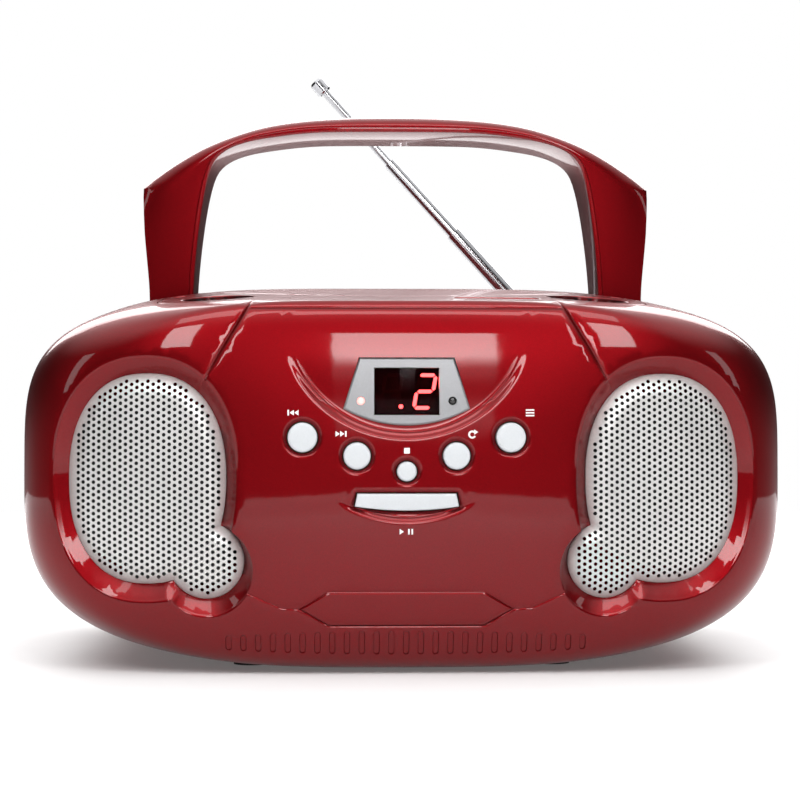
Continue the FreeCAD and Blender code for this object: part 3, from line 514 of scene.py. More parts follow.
ALUMINIUM = finish_of("aluminium", (0.62, 0.63, 0.64), 0.4, metal=1.0, grain=1200, spread=0.08, bump=0.08)
WHITE = finish_of("white_plastic", (0.75, 0.75, 0.72), 0.4, grain=1500, spread=0.04)
INK = finish_of("white_ink", (0.80, 0.78, 0.78), 0.5, grain=3000, spread=0.04)
DARK_LAMP = finish_of("dark_lamp", (0.010, 0.008, 0.008), 0.18, coat=0.6, grain=1500, spread=0.3, bump=0.02)
WINDOW = finish_of("dark_window", (0.42, 0.10, 0.13), 0.04, spread=0.05, bump=0.0, rough_spread=0.01,
                   Transmission_Weight=1.0, IOR=1.12)
DISPLAY = finish_of("display_face", (0.006, 0.004, 0.005), 0.5, grain=1200, spread=0.3)
DIM = finish_of("unlit_segment", (0.030, 0.010, 0.011), 0.5, grain=1500, spread=0.2, bump=0.03)
LIT = glowing("lit_segment", (1.0, 0.26, 0.20), 14.0, (0.5, 0.05, 0.05))
POWER = glowing("red_lamp", (1.0, 0.42, 0.38), 1.6, (0.7, 0.2, 0.2))

NODE_LOOKS = {
    RED: ["front_cabinet", "rear_cabinet", "badge_plate", "battery_door", "carry_handle", "top_deck",
          "cd_lid"],
    SILVER_KEY: ["button_skip_back", "button_program", "button_skip_forward", "button_repeat", "button_stop",
                 "button_play_pause"],
    SILVER: ["display_bezel", "volume_knob", "tuning_knob", "function_slider", "band_slider"],
    BLACK: ["left_speaker_basket", "right_speaker_basket", "turntable", "cd_dampers", "cd_chassis",
            "mains_inlet", "headphone_socket", "slide_switches", "tact_switches", "tuning_capacitor"],
    RUBBER: ["rubber_feet"],
    STEEL: ["case_screws", "left_speaker_magnet", "right_speaker_magnet", "guide_rods", "spindle_motor",
            "sled_motor", "volume_potentiometer", "handle_pivot_pins", "battery_contacts", "transformer"],
    PAPER: ["left_speaker_cone", "right_speaker_cone"],
    BOARD: ["front_board", "volume_board", "tuner_board", "main_board"],
    CHROME: ["aerial_swivel", "aerial_mast_1", "aerial_mast_2", "aerial_mast_3"],
    MESH_METAL: ["left_grille", "right_grille"],
    WINDOW: ["display_window"],
    DISPLAY: ["led_display"],
    POWER: ["power_lamp"],
    DARK_LAMP: ["stereo_lamp"],
    ALUMINIUM: ["heat_sink"],
    BRASS: ["lead_screw"],
    WHITE: ["dial_scale", "dial_pointer", "laser_pickup"],
}


def dress_cad_nodes():
    for material, names in NODE_LOOKS.items():
        for name in names:
            slots = frame["nodes"][name].data.materials
            for n in range(len(slots)):
                slots[n] = material


# ------------------------------------------------------------------ the front's features

RECESS_DEEP = 4.4
# Each pair: the big oval's centre and half sizes, and the small lobe's centre and radius.
RECESS_OVAL, RECESS_LOBE = (79.9, 59.6, 28.5, 37.2), (60.7, 32.1, 14.1)
GRILLE_OVAL, GRILLE_LOBE = (79.2, 60.0, 24.4, 32.1), (60.9, 35.0, 11.6)
WINDOW_HALF, WINDOW_LOW, WINDOW_HIGH = 9.8, 79.4, 93.6
# Each key: its body, its centre's x and z, and its radius.
KEYS = {
    "button_skip_back": ("skip_back_key", -31.6, 72.5, 4.5),
    "button_program": ("program_key", 31.6, 72.5, 4.5),
    "button_skip_forward": ("skip_forward_key", -15.1, 66.9, 4.1),
    "button_repeat": ("repeat_key", 15.1, 66.9, 4.1),
    "button_stop": ("stop_key", 0.0, 62.2, 3.0),
}
KEY_CIRCLES = [place for _, *place in KEYS.values()]
LED_X, LED_Z, LED_RADIUS = 13.9, 83.6, 1.2
# Each smile: the circle whose lower edge it follows, its half width, and its step's width.
SMILE, SMILE_HALF, SMILE_WIDE = (0.0, 111.0, 39.4), 38.4, 2.1
PLAY_SMILE, PLAY_HALF, PLAY_WIDE = (0.0, 86.0, 39.7), 22.0, 1.6
SLOT_COUNT, SLOT_PITCH, SLOT_Z, SLOT_RADIUS, SLOT_TALL = 25, 4.51, 9.9, 0.96, 7.5
BADGE_Z = 20.4
WALL = 2.2


def recess_outline(side):
    shape = joined(oval(*RECESS_OVAL), circle(*RECESS_LOBE, 90))
    return mirrored(dense(shape, 1.6), side)


def grille_outline(side):
    shape = joined(oval(*GRILLE_OVAL), circle(*GRILLE_LOBE, 80))
    return mirrored(dense(shape, 1.4), side)


def splayed(top_half, half, corner, high, low, count=18):
    """A straight top, splayed sides and a bowed lower edge."""
    rise = corner - low
    radius = (half * half + rise * rise) / (2 * rise)
    sweep = math.asin(half / radius)
    angle = np.linspace(sweep, -sweep, count)
    bow = columns(radius * np.sin(angle), low + radius - radius * np.cos(angle))
    return np.concatenate([[(-top_half, high), (top_half, high)], bow])


def bezel_outline(grow=0.0):
    return splayed(14.4 + grow, 19.2 + grow, 81.2, 96.7 + grow, 76.2 - grow)


def play_outline(grow=0.0):
    return splayed(15.0 + grow, 15.8 + grow, 51.6 - grow / 2, 55.5 + grow, 50.4 - grow)


def window_outline(grow=0.0):
    half = WINDOW_HALF + grow
    return box_line(-half, half, WINDOW_LOW - grow, WINDOW_HIGH + grow)


def badge_outline(grow=0.0):
    half, flat, rise, z = 32.1 + grow, 23.6 + grow * 0.6, 4.95 + grow, BADGE_Z
    return np.array([(-half, z), (-flat, z - rise), (flat, z - rise),
                     (half, z), (flat, z + rise), (-flat, z + rise)])


def slot_outlines(shrink=0.0):
    """The upright slots along the lower front, shorter towards the ends of the row."""
    loops = []
    for n in range(SLOT_COUNT):
        x = (n - (SLOT_COUNT - 1) / 2) * SLOT_PITCH
        tall = SLOT_TALL * (1 - 0.4 * (2 * x / (SLOT_COUNT * SLOT_PITCH)) ** 2) - 2 * shrink
        radius = SLOT_RADIUS - shrink
        reach = tall / 2 - radius
        angle = np.linspace(0, math.pi, 7)
        loops.append(np.concatenate([
            columns(x + end * radius * np.cos(angle), SLOT_Z + end * (reach + radius * np.sin(angle)))
            for end in (1, -1)]))
    return loops


def arc(smile, half):
    """The lower arc of a circle, out to a half width."""
    x, z, radius = smile
    sweep = math.asin(half / radius)
    angle = np.linspace(-sweep, sweep, 60)
    return columns(x + radius * np.sin(angle), z - radius * np.cos(angle))


def both_sides(*points):
    return [np.array([(side * x, z) for x, z in points]) for side, _ in SIDES]


RECESSES = {side: recess_outline(side) for side, _ in SIDES}
GRILLES = {side: grille_outline(side) for side, _ in SIDES}
SLOTS = slot_outlines()
DIAGONALS = both_sides((46.8, 115.0), (55.5, 100.2), (63.4, 86.6))
SEAMS = both_sides((32.4, 20.4), (38.0, 20.6), (48.2, 25.2))
LIP = columns(np.linspace(-47.6, 47.6, 24), 111.9)
DIAGONAL_WIDE, SEAM_WIDE = 0.36, 0.22


def groove(gap, deep, wide):
    """A soft groove's depth at a distance from its line."""
    return deep * np.exp(-(gap / wide) ** 2)


def dish(gap, deep, start, wide):
    """A soft-edged hollow's depth at a distance from the outline it surrounds."""
    return deep * (1 - ease((gap - start) / wide))


def smile_dent(points, smile, deep, wide, fade):
    """A shallow step inside a round lower edge, which fades out towards its ends."""
    x, z, radius = smile
    gap = radius - np.hypot(points[:, 0] - x, points[:, 1] - z)
    return (deep * ease(gap / wide) - groove(gap - wide - 0.5, 0.22, 0.32) * (gap > 0)) * fade


def front_dent(points):
    """How far the front's skin is pressed in at each place."""
    x, z = points[:, 0], points[:, 1]
    dent = np.zeros(len(points))
    for side, _ in SIDES:
        outer, inner = signed(points, RECESSES[side]), signed(points, GRILLES[side])
        down = np.clip(-outer, 0, None)
        ramp = down / (down + np.clip(inner, 0, None) + 1e-6)
        wall = np.where(outer < 0, RECESS_DEEP * ramp ** 0.85, 0)
        dent += np.where(np.abs(outer) < 2.5, groove(outer, 0.28, 0.55), 0) + wall
    dent += smile_dent(points, SMILE, 1.15, SMILE_WIDE, ease((99.5 - z) / 19))
    fade = ease((PLAY_HALF - np.abs(x)) / 8) * ease((54.5 - z) / 4)
    dent += smile_dent(points, PLAY_SMILE, 0.9, PLAY_WIDE, fade)
    for x0, z0, radius in KEY_CIRCLES:
        gap = np.hypot(x - x0, z - z0) - radius
        dent += dish(gap, 0.75, 0.35, 1.25)
    gap = signed(points, play_outline())
    dent += dish(gap, 0.6, 0.3, 1.1) * (gap < 2)
    for line in DIAGONALS:
        gap = edge_distance(points, dense(line, 2, False), False)
        dent += groove(gap, 0.75, DIAGONAL_WIDE) * ease((z - 84) / 16)
    for line in SEAMS:
        dent += groove(edge_distance(points, dense(line, 2, False), False), 0.22, SEAM_WIDE)
    dent += groove(edge_distance(points, dense(badge_outline(0.35), 2)), 0.26, SEAM_WIDE)
    dent += groove(edge_distance(points, LIP, False), 0.4, 0.28) * (z > 109)
    for loop in SLOTS:
        middle = loop.mean(0)
        near = (np.abs(x - middle[0]) < 2) & (np.abs(z - middle[1]) < 6)
        if near.any():
            dent[near] += 0.55 * ease((0.12 - signed(points[near], loop)) / 0.34)
    return dent


def front_holes():
    """Outlines of the holes right through the front's skin."""
    holes = [GRILLES[side] for side, _ in SIDES]
    holes += [circle(x, z, radius + 0.4, 56) for x, z, radius in KEY_CIRCLES]
    return holes + [dense(play_outline(0.4), 1.2), dense(bezel_outline(0.12), 1.2),
                    dense(badge_outline(0.12), 2.4)]


def front_lines():
    """Lines along the front's steps and grooves, which its mesh has to follow."""
    lines = [(offset_line(RECESSES[side], gap), True)
             for side, _ in SIDES for gap in (0.9, 0.35, 0, -0.35, -0.9)]
    for x, z, radius in KEY_CIRCLES:
        lines += [(circle(x, z, radius + grow, 56), True) for grow in (0.7, 1.0, 1.3, 1.65, 2.1)]
    lines += [(dense(play_outline(grow), 1.2), True) for grow in (0.75, 1.1, 1.45, 1.9)]
    for (x, z, radius), half, wide in ((SMILE, SMILE_HALF, SMILE_WIDE), (PLAY_SMILE, PLAY_HALF, PLAY_WIDE)):
        gaps = [-1.0, -0.45, 0, 0.35, 0.7, 1.05, 1.4]
        gaps += [wide + more for more in (0, 0.25, 0.5, 0.75, 1.1, 1.7, 2.5)]
        lines += [(arc((x, z, radius - gap), half - gap), False) for gap in gaps]
    widths = [(line, DIAGONAL_WIDE) for line in DIAGONALS] + [(line, SEAM_WIDE) for line in SEAMS]
    for line, wide in widths + [(LIP, 0.26)]:
        line = dense(line, 2, False)
        lines += [(offset_line(line, gap * wide, False), False) for gap in (-2.2, -1.1, 0, 1.1, 2.2)]
    lines += [(dense(badge_outline(grow), 2.4), True) for grow in (0.35, 0.6, 0.85)]
    return lines + [(loop, True) for loop in SLOTS + slot_outlines(0.22)]


def towards_waist(points):
    """The way from each place straight in to the waist's middle line."""
    way = columns(-points[:, 0], 0, WAIST_Z - points[:, 2])
    return way / np.maximum(np.linalg.norm(way, axis=1, keepdims=True), 1e-6)


SKIN_CLEAR = 0.75
FRONT_SPACING, REAR_SPACING = 2.3, 3.0
PARTING_LAP = 1.2
DENTS_END = -66


def skin_sheet(wrap, spacing, holes, lines):
    """One moulding's skin: a sheet with its holes and the top's cut-outs left out."""
    field, rim = wrap.field(spacing)
    flat, faces = triangulated([(hole, True) for hole in holes] + lines + [(rim, True)], field, SKIN_CLEAR)
    middles = flat[faces].mean(1)
    keep = wrap.within(middles)
    for hole in holes:
        keep &= ~inside(middles, hole)
    points = wrap.solid(flat)
    keep &= ~in_top_cut(points[faces].mean(1))
    return points, faces[keep]


def front_cabinet():
    """The front moulding's skin, with every recess, groove and key hole pressed into it."""
    wrap = Wrap(FRONT_Y, SIDE_ROLL, front_y)
    holes = [wrap.upright(hole) for hole in front_holes()]
    lines = [(wrap.upright(line), closed) for line, closed in front_lines()]
    lines.append((wrap.from_top(deck_line(True)), False))
    points, faces = skin_sheet(wrap, FRONT_SPACING, holes, lines)
    points[:, 1] += np.where(points[:, 1] < DENTS_END, front_dent(points[:, [0, 2]]), 0)

    def shift(rim_points):
        at_parting = rim_points[:, 1] > PARTING_Y - 0.5
        at_top = (rim_points[:, 2] > 100) & (rim_points[:, 1] > DECK_FRONT - 2) & ~at_parting
        move = columns(0, np.where(at_parting | at_top, 0, WALL), np.where(at_top, -WALL, 0))
        return np.where(at_parting[:, None], PARTING_LAP * towards_waist(rim_points), move)

    points, faces = rim_walls(points, faces, shift)
    make_mesh("front_shell", points, faces, RED, replaces=["front_cabinet"], angle=40)


# ------------------------------------------------------------------ cut-outs in the top

DECK_HALF, DECK_FRONT, DECK_REAR, DECK_CORNER = 78.0, -91.0, 82.0, 22.0
CORNER_STEPS = 8
CHANNEL_IN, CHANNEL_OUT, CHANNEL_FRONT, CHANNEL_REAR, CHANNEL_FLOOR = 67.8, 87.4, -14.0, 62.0, 99.4
NOTCH_FRONT, NOTCH_FLOOR, NOTCH_RIGHT = 91.0, 103.0, 74.0
NOTCH = box_line(-140.0, NOTCH_RIGHT, NOTCH_FRONT, 140.0)
GAP = 0.3


def round_box(half, front, rear, corner):
    """A rounded rectangle seen from above, from its right rear corner round."""
    loop = []
    for x, y, start in ((half - corner, rear - corner, 0), (-half + corner, rear - corner, 90),
                        (-half + corner, front + corner, 180), (half - corner, front + corner, 270)):
        for n in range(CORNER_STEPS + 1):
            angle = math.radians(start + 90 * n / CORNER_STEPS)
            loop.append((x + corner * math.cos(angle), y + corner * math.sin(angle)))
    return np.array(loop)


DECK_HOLE = round_box(DECK_HALF + GAP, DECK_FRONT - GAP, DECK_REAR + GAP, DECK_CORNER + GAP)
CHANNELS = {side: mirrored(box_line(CHANNEL_IN, CHANNEL_OUT, CHANNEL_FRONT, CHANNEL_REAR), side)
            for side, _ in SIDES}


def in_top_cut(points):
    """Which places on the cabinet's skin are cut away for the deck, the channels and the aerial shelf."""
    seen = points[:, :2]
    cut = inside(seen, DECK_HOLE) | inside(seen, CHANNELS[-1]) | inside(seen, CHANNELS[1])
    return (cut & (points[:, 2] > CHANNEL_FLOOR)) | (inside(seen, NOTCH) & (points[:, 2] > NOTCH_FLOOR))


def deck_line(front):
    """The deck's outline on one side of the parting plane, in one run."""
    loop = dense(DECK_HOLE, 1.5)
    far = np.argmax(loop[:, 1]) if front else np.argmin(loop[:, 1])
    loop = np.roll(loop, -int(far), 0)
    return loop[loop[:, 1] < PARTING_Y] if front else loop[loop[:, 1] > PARTING_Y]


# ------------------------------------------------------------------ the rear moulding

REAR_FLAT = 106.75
BATTERY_HALF, BATTERY_LOW, BATTERY_HIGH, BATTERY_DEPTH = 50.0, 12.0, 62.0, 52.0
VENT_COUNT, VENT_PITCH, VENT_HALF, VENT_LOW, VENT_HIGH, VENT_DEPTH = 9, 9.0, 1.5, 74.0, 90.0, 101.5
SCREWS = [(x, z) for x in (-99.0, 99.0) for z in (36.0, 88.0)]
SCREW_RADIUS, SCREW_DEPTH = 3.2, 96.0
JACK = (70.0, 60.0, 4.0)
INLET = (-70.0, 32.0, 11.0, 8.0)
SOCKET_DEPTH = 90.0


def rear_openings():
    """Each opening in the back: its outline seen from the front, its depth, and whether it has a floor."""
    half = BATTERY_HALF
    boxes = [(box_line(-half, half, BATTERY_LOW, BATTERY_HIGH), BATTERY_DEPTH, True)]
    for n in range(VENT_COUNT):
        x = (n - (VENT_COUNT - 1) / 2) * VENT_PITCH
        boxes.append((box_line(x - VENT_HALF, x + VENT_HALF, VENT_LOW, VENT_HIGH), VENT_DEPTH, True))
    boxes.append((box_about(*INLET), SOCKET_DEPTH, False))
    wells = [(circle(x, z, SCREW_RADIUS, 32), SCREW_DEPTH, False) for x, z in SCREWS]
    return ([(dense(loop, 2.0), depth, closed) for loop, depth, closed in boxes] + wells
            + [(circle(*JACK, 32), SOCKET_DEPTH, False)])


def rear_cabinet():
    """The rear moulding's skin, cut for the deck, the handle, the aerial, the batteries and the sockets."""
    wrap = Wrap(REAR_Y, REAR_ROLL, rear_y)
    holes = [wrap.upright(loop) for loop, _, _ in rear_openings()]
    shelf = columns(np.arange(-112.0, NOTCH_RIGHT + 0.5, 2.0), NOTCH_FRONT)
    shelf = shelf[top_over(shelf) > NOTCH_FLOOR - 1.5]
    shelf_end = columns(NOTCH_RIGHT, np.linspace(NOTCH_FRONT, NOTCH_FRONT + 12, 9))
    level = columns(np.arange(-108.0, NOTCH_RIGHT + 3.0, 2.0), NOTCH_FLOOR)
    lines = [(wrap.from_top(deck_line(False)), False)]
    lines += [(wrap.from_top(dense(CHANNELS[side], 1.5)), True) for side, _ in SIDES]
    lines += [(wrap.from_top(shelf), False), (wrap.from_top(shelf_end), False), (wrap.upright(level), False)]
    points, faces = skin_sheet(wrap, REAR_SPACING, holes, lines)
    points[:, 1] = np.minimum(points[:, 1], REAR_FLAT)

    def shift(rim_points):
        at_parting = rim_points[:, 1] < PARTING_Y + 0.5
        high = (rim_points[:, 2] > NOTCH_FLOOR + 1) & ~at_parting
        at_back = (rim_points[:, 1] > 90) & ~high
        move = columns(0, np.where(at_back, -WALL, 0), np.where(high, -WALL, 0))
        return np.where(at_parting[:, None], PARTING_LAP * towards_waist(rim_points), 0) + move

    points, faces = rim_walls(points, faces, shift)
    make_mesh("rear_shell", points, faces, RED, replaces=["rear_cabinet"], angle=40)


# ------------------------------------------------------------------ grilles

GRILLE_PITCH = 1.92
GRILLE_HOLE = 0.60
GRILLE_THICK = 0.6
GRILLE_BORDER = 1.75
GRILLE_RISE, GRILLE_EDGE = 3.7, 7.0
STAGGER = 0.866


def grille_y(points, side):
    """The grille's dome: steep at its rolled border, nearly flat over its middle."""
    gap = -signed(points, GRILLES[side])
    border = front_y(points[:, 0], points[:, 1])
    middle = front_y([side * 72.0], [59.0])[0]
    rise = GRILLE_RISE * (1 - np.clip(1 - gap / GRILLE_EDGE, 0, 1) ** 2.4)
    seat = border + RECESS_DEEP - 0.2
    return seat - rise + 0.55 * (middle - border) * ease(gap / 20)


def grille(side, word):
    """A perforated sheet with staggered round holes and a rolled border."""
    edge = GRILLES[side]
    low, high = edge.min(0), edge.max(0)
    across = int((high[0] - low[0]) / (GRILLE_PITCH * STAGGER)) + 1
    up = int((high[1] - low[1]) / GRILLE_PITCH) + 2
    centres = np.array([(low[0] + c * GRILLE_PITCH * STAGGER, low[1] + (r + 0.5 * (c % 2)) * GRILLE_PITCH)
                        for c in range(across) for r in range(up)])
    centres = centres[signed(centres, edge) < -GRILLE_BORDER]
    loops = [(circle(x, z, GRILLE_HOLE, 10), True) for x, z in centres] + [(edge, True)]
    centre = edge.mean(0)
    rings = np.concatenate([dense(edge, 1.0)]
                           + [centre + (edge - centre) * shrink for shrink in (0.985, 0.97, 0.955)])
    flat, faces = triangulated(loops, rings[inside(rings, edge)], 0.25)
    faces = cut_out(flat, faces, edge)
    apart = np.round(flat[faces].mean(1)[:, None, :] - centres[None, :, :], 6)
    faces = faces[np.hypot(apart[..., 0], apart[..., 1]).min(1) > GRILLE_HOLE * 0.93]
    points = columns(flat[:, 0], grille_y(flat, side), flat[:, 1])
    points, faces = rim_walls(points, faces, (0, GRILLE_THICK, 0))
    make_mesh(word + "_grille_sheet", points, faces, MESH_METAL, replaces=[word + "_grille"], angle=50)


# ------------------------------------------------------------------ keys, bezel, display

DIGIT_SLANT, DIGIT_LOW, DIGIT_TALL, DIGIT_WIDE = 0.17, 81.6, 9.9, 5.0
BAR_WIDE, BAR_GAP = 1.05, 0.22
BEZEL_BEVEL, BADGE_BEVEL = 0.5, 0.35


def key(name):
    body, x, z, radius = KEYS[name]
    front = KEY_FRONT
    profile = [(0.5 * radius, front), (radius - 0.75, front + 0.03), (radius - 0.4, front + 0.12),
               (radius - 0.12, front + 0.36), (radius, front + 0.75), (radius, front + 6)]
    make_mesh(name + "_cap", *lathe(profile, (x, z)), SILVER_KEY, body=body, replaces=[name])


def play_key():
    bar_form = prism(dense(play_outline(), 0.9), KEY_FRONT + 0.1, KEY_FRONT + 5, 0.5, 4)
    make_mesh("play_pause_bar", *bar_form, SILVER_KEY, body="play_key", replaces=["button_play_pause"])


def segment(a, b):
    """One bar of a seven-segment digit, pointed at both ends."""
    a, b = np.array(a, float), np.array(b, float)
    along = (b - a) / np.linalg.norm(b - a)
    a, b = a + along * BAR_GAP, b - along * BAR_GAP
    across = np.array([-along[1], along[0]]) * BAR_WIDE / 2
    tip = along * BAR_WIDE / 2
    return np.array([a, a + tip + across, b - tip + across, b, b - tip - across, a + tip - across])


def digit(name, x, lit):
    """A seven-segment digit behind the window, some of its bars lit."""
    wide, tall, half = DIGIT_WIDE, DIGIT_TALL, DIGIT_TALL / 2
    ends = {"a": ((0, tall), (wide, tall)), "b": ((wide, half), (wide, tall)), "c": ((wide, 0), (wide, half)),
            "d": ((0, 0), (wide, 0)), "e": ((0, 0), (0, half)), "f": ((0, half), (0, tall)),
            "g": ((0, half), (wide, half))}
    front = DISPLAY_FRONT - 0.12
    for letter, (a, b) in ends.items():
        loop = segment(a, b)
        loop[:, 0] += x + DIGIT_SLANT * loop[:, 1]
        loop[:, 1] += DIGIT_LOW
        look = LIT if letter in lit else DIM
        make_mesh(name + "_" + letter, *prism(loop, front, front + 0.3, 0.08, 1), look, slot="red_lamp")


def display():
    digit("digit_left", -7.9, "")
    digit("digit_right", 2.3, "abged")
    profile = [(0.4, DISPLAY_FRONT - 0.15), (0.62, DISPLAY_FRONT - 0.1), (0.66, DISPLAY_FRONT)]
    make_mesh("digit_point", *lathe(profile, (-1.6, 82.0), 20), LIT, slot="red_lamp")


def bezel():
    """The display's silver surround, with a bevelled edge and openings for its window and lamps."""
    outline = dense(bezel_outline(), 1.2)
    window = dense(window_outline(0.12), 1.5)
    lamp_holes = [circle(side * LED_X, LED_Z, LED_RADIUS + 0.1, 24) for side, _ in SIDES]
    inner = drawn_in(outline, BEZEL_BEVEL)
    loops = [(loop, True) for loop in [window, inner, outline] + lamp_holes]
    flat, faces = triangulated(loops, np.zeros((0, 2)), 0.3)
    faces = cut_out(flat, faces, outline, [window] + lamp_holes)
    edge = np.clip(-signed(flat, outline) / BEZEL_BEVEL, 0, 1)
    y = front_y(flat[:, 0], flat[:, 1]) + 0.35 + 0.45 * (1 - edge)
    points, faces = rim_walls(columns(flat[:, 0], y, flat[:, 1]), faces, (0, WALL, 0))
    make_mesh("bezel_plate", points, faces, SILVER, replaces=["display_bezel"], angle=30)


def window_pane():
    form = prism(window_outline(-0.02), WINDOW_FRONT, WINDOW_FRONT + 1.2, 0.25, 3, caps=(0, 4))
    make_mesh("window_pane", *form, WINDOW, replaces=["display_window"])


def lamps():
    for side, name, material in ((-1, "power_lamp", POWER), (1, "stereo_lamp", DARK_LAMP)):
        front = front_y([side * LED_X], [LED_Z])[0] + 0.25
        profile = [(0.25, front), (0.7, front + 0.12), (1.02, front + 0.4), (LED_RADIUS, front + 0.9),
                   (LED_RADIUS, front + 4)]
        make_mesh(name + "_lens", *lathe(profile, (side * LED_X, LED_Z), 32), material, replaces=[name])


def badge():
    """The blank six-sided plate, whose face follows the front's curve."""
    outline = dense(badge_outline(), 2.0)
    inner = drawn_in(outline, BADGE_BEVEL)
    field = grid(np.arange(-31, 32, 2.4), np.arange(16, 25.5, 1.6))
    field = field[signed(field, outline) < -0.7]
    flat, faces = triangulated([(outline, True), (inner, True)], field, 0.3)
    edge = np.clip(-signed(flat, outline) / BADGE_BEVEL, 0, 1)
    y = front_y(flat[:, 0], flat[:, 1]) + 0.02 + 0.22 * (1 - edge)
    points, faces = rim_walls(columns(flat[:, 0], y, flat[:, 1]), cut_out(flat, faces, outline), (0, 1.5, 0))
    make_mesh("badge_blank", points, faces, RED, replaces=["badge_plate"], angle=30)


# ------------------------------------------------------------------ the carry handle

HANDLE_PIVOT_Y = 5.0
# Each row: outer edge x, z, inner edge x, z, half the depth front to back, how far the faces
# lean back to the outer edge, and how fully they round over there.
HANDLE_ROWS = [
    (85.2, 101.2, 70.8, 101.2, 5.5, 0.8, 0.5), (85.4, 104.0, 70.6, 104.0, 9.6, 1.0, 0.5),
    (85.5, 108.0, 70.5, 108.0, 12.2, 1.2, 0.6), (85.5, 113.0, 70.4, 113.0, 13.2, 1.4, 0.6),
    (85.5, 124.0, 70.2, 124.7, 14.0, 1.7, 0.65), (86.6, 135.5, 69.3, 136.0, 14.7, 2.3, 0.7),
    (87.3, 143.0, 68.4, 144.0, 15.2, 2.8, 0.75), (87.6, 150.0, 67.4, 151.5, 15.6, 3.3, 0.8),
    (87.8, 156.2, 66.3, 157.6, 16.0, 3.9, 0.85), (87.75, 159.0, 65.5, 161.4, 16.2, 5.4, 0.95),
    (84.3, 162.6, 64.6, 165.0, 16.5, 6.8, 0.99), (79.0, 166.4, 63.0, 168.4, 16.8, 7.6, 0.995),
    (72.8, 170.5, 60.4, 170.9, 17.1, 8.0, 0.995), (65.6, 174.4, 56.2, 173.2, 17.4, 8.2, 0.995),
    (56.5, 178.0, 50.4, 174.9, 17.7, 8.4, 0.995), (46.7, 181.0, 43.2, 176.1, 18.0, 8.5, 0.995),
    (37.5, 182.6, 35.4, 177.2, 18.2, 8.5, 0.995), (27.9, 183.6, 26.9, 177.9, 18.4, 8.5, 0.995),
    (14.0, 184.3, 13.6, 178.1, 18.5, 8.5, 0.995), (0.0, 184.45, 0.0, 178.1, 18.55, 8.5, 0.995),
]
HANDLE_SOFT, HANDLE_BEAD, BEAD_STEP, BEAD_RISE = 0.7, 1.5, 0.32, 0.3
HANDLE_CORNER_X = 87.0
HANDLE_SPACING = 2.5
FACE_STEPS = 15


def handle_section(row):
    """A section across the handle: a bead along the inner edge, and faces that round over outwards."""
    outer, inner, (half_depth, lean, fullness) = row[:2], row[2:4], row[4:]
    tall = np.linalg.norm(outer - inner)
    up = (outer - inner) / tall
    bead_end = HANDLE_BEAD + BEAD_RISE
    face = [(half_depth - HANDLE_SOFT, 0.0), (half_depth - 0.2 * HANDLE_SOFT, 0.2 * HANDLE_SOFT),
            (half_depth, HANDLE_SOFT), (half_depth, HANDLE_BEAD), (half_depth - BEAD_STEP, bead_end)]
    for n in range(1, FACE_STEPS + 1):
        share = math.sin(math.pi / 2 * n / FACE_STEPS)
        drop = (1 - math.sqrt(1 - (fullness * share) ** 2)) / (1 - math.sqrt(1 - fullness ** 2))
        face.append((half_depth - BEAD_STEP - lean * drop, bead_end + (tall - bead_end) * share))
    loop = face + [(-depth, rise) for depth, rise in reversed(face)]
    return np.array([(inner[0] + up[0] * rise, HANDLE_PIVOT_Y - depth, inner[1] + up[1] * rise)
                     for depth, rise in loop])


def handle():
    rows = np.array(HANDLE_ROWS)
    fine = []
    for row, following in zip(rows[:-1], rows[1:]):
        steps = max(1, int(np.linalg.norm(following[:2] - row[:2]) / HANDLE_SPACING))
        fine += [row + (following - row) * k / steps for k in range(steps)]
    fine = np.array(fine + [rows[-1]])
    for _ in range(3):
        soft = fine.copy()
        soft[1:-1] = (fine[:-2] + 2 * fine[1:-1] + fine[2:]) / 4
        soft[:, 0] = np.where(fine[:, 0] > HANDLE_CORNER_X, fine[:, 0], soft[:, 0])
        fine = soft
    whole = [row * np.array([-1, 1, -1, 1, 1, 1, 1]) for row in fine[:-1]] + list(fine[::-1])
    form = skinned([handle_section(row) for row in whole], caps=(0, len(whole) - 1))
    make_mesh("handle_shell", *form, RED, body="carry_handle", replaces=["carry_handle"], angle=28)


# ------------------------------------------------------------------ linings behind the skin

def well(name, outline, floor, lip, material):
    """A pocket open at the top: walls down from below the skin to a filleted floor."""
    outline = np.asarray(outline, float)
    middle = outline.mean(0)
    small = middle + (outline - middle) * (1 - 1.2 / np.abs(outline - middle).max())
    rows = [columns(*outline.T, top_over(outline, lip)), columns(*outline.T, floor + 1.2),
            columns(*((outline + small) / 2).T, floor + 0.35), columns(*small.T, floor)]
    make_mesh(name, *skinned(rows, caps=(3,)), material, slot="red_gloss", angle=30)


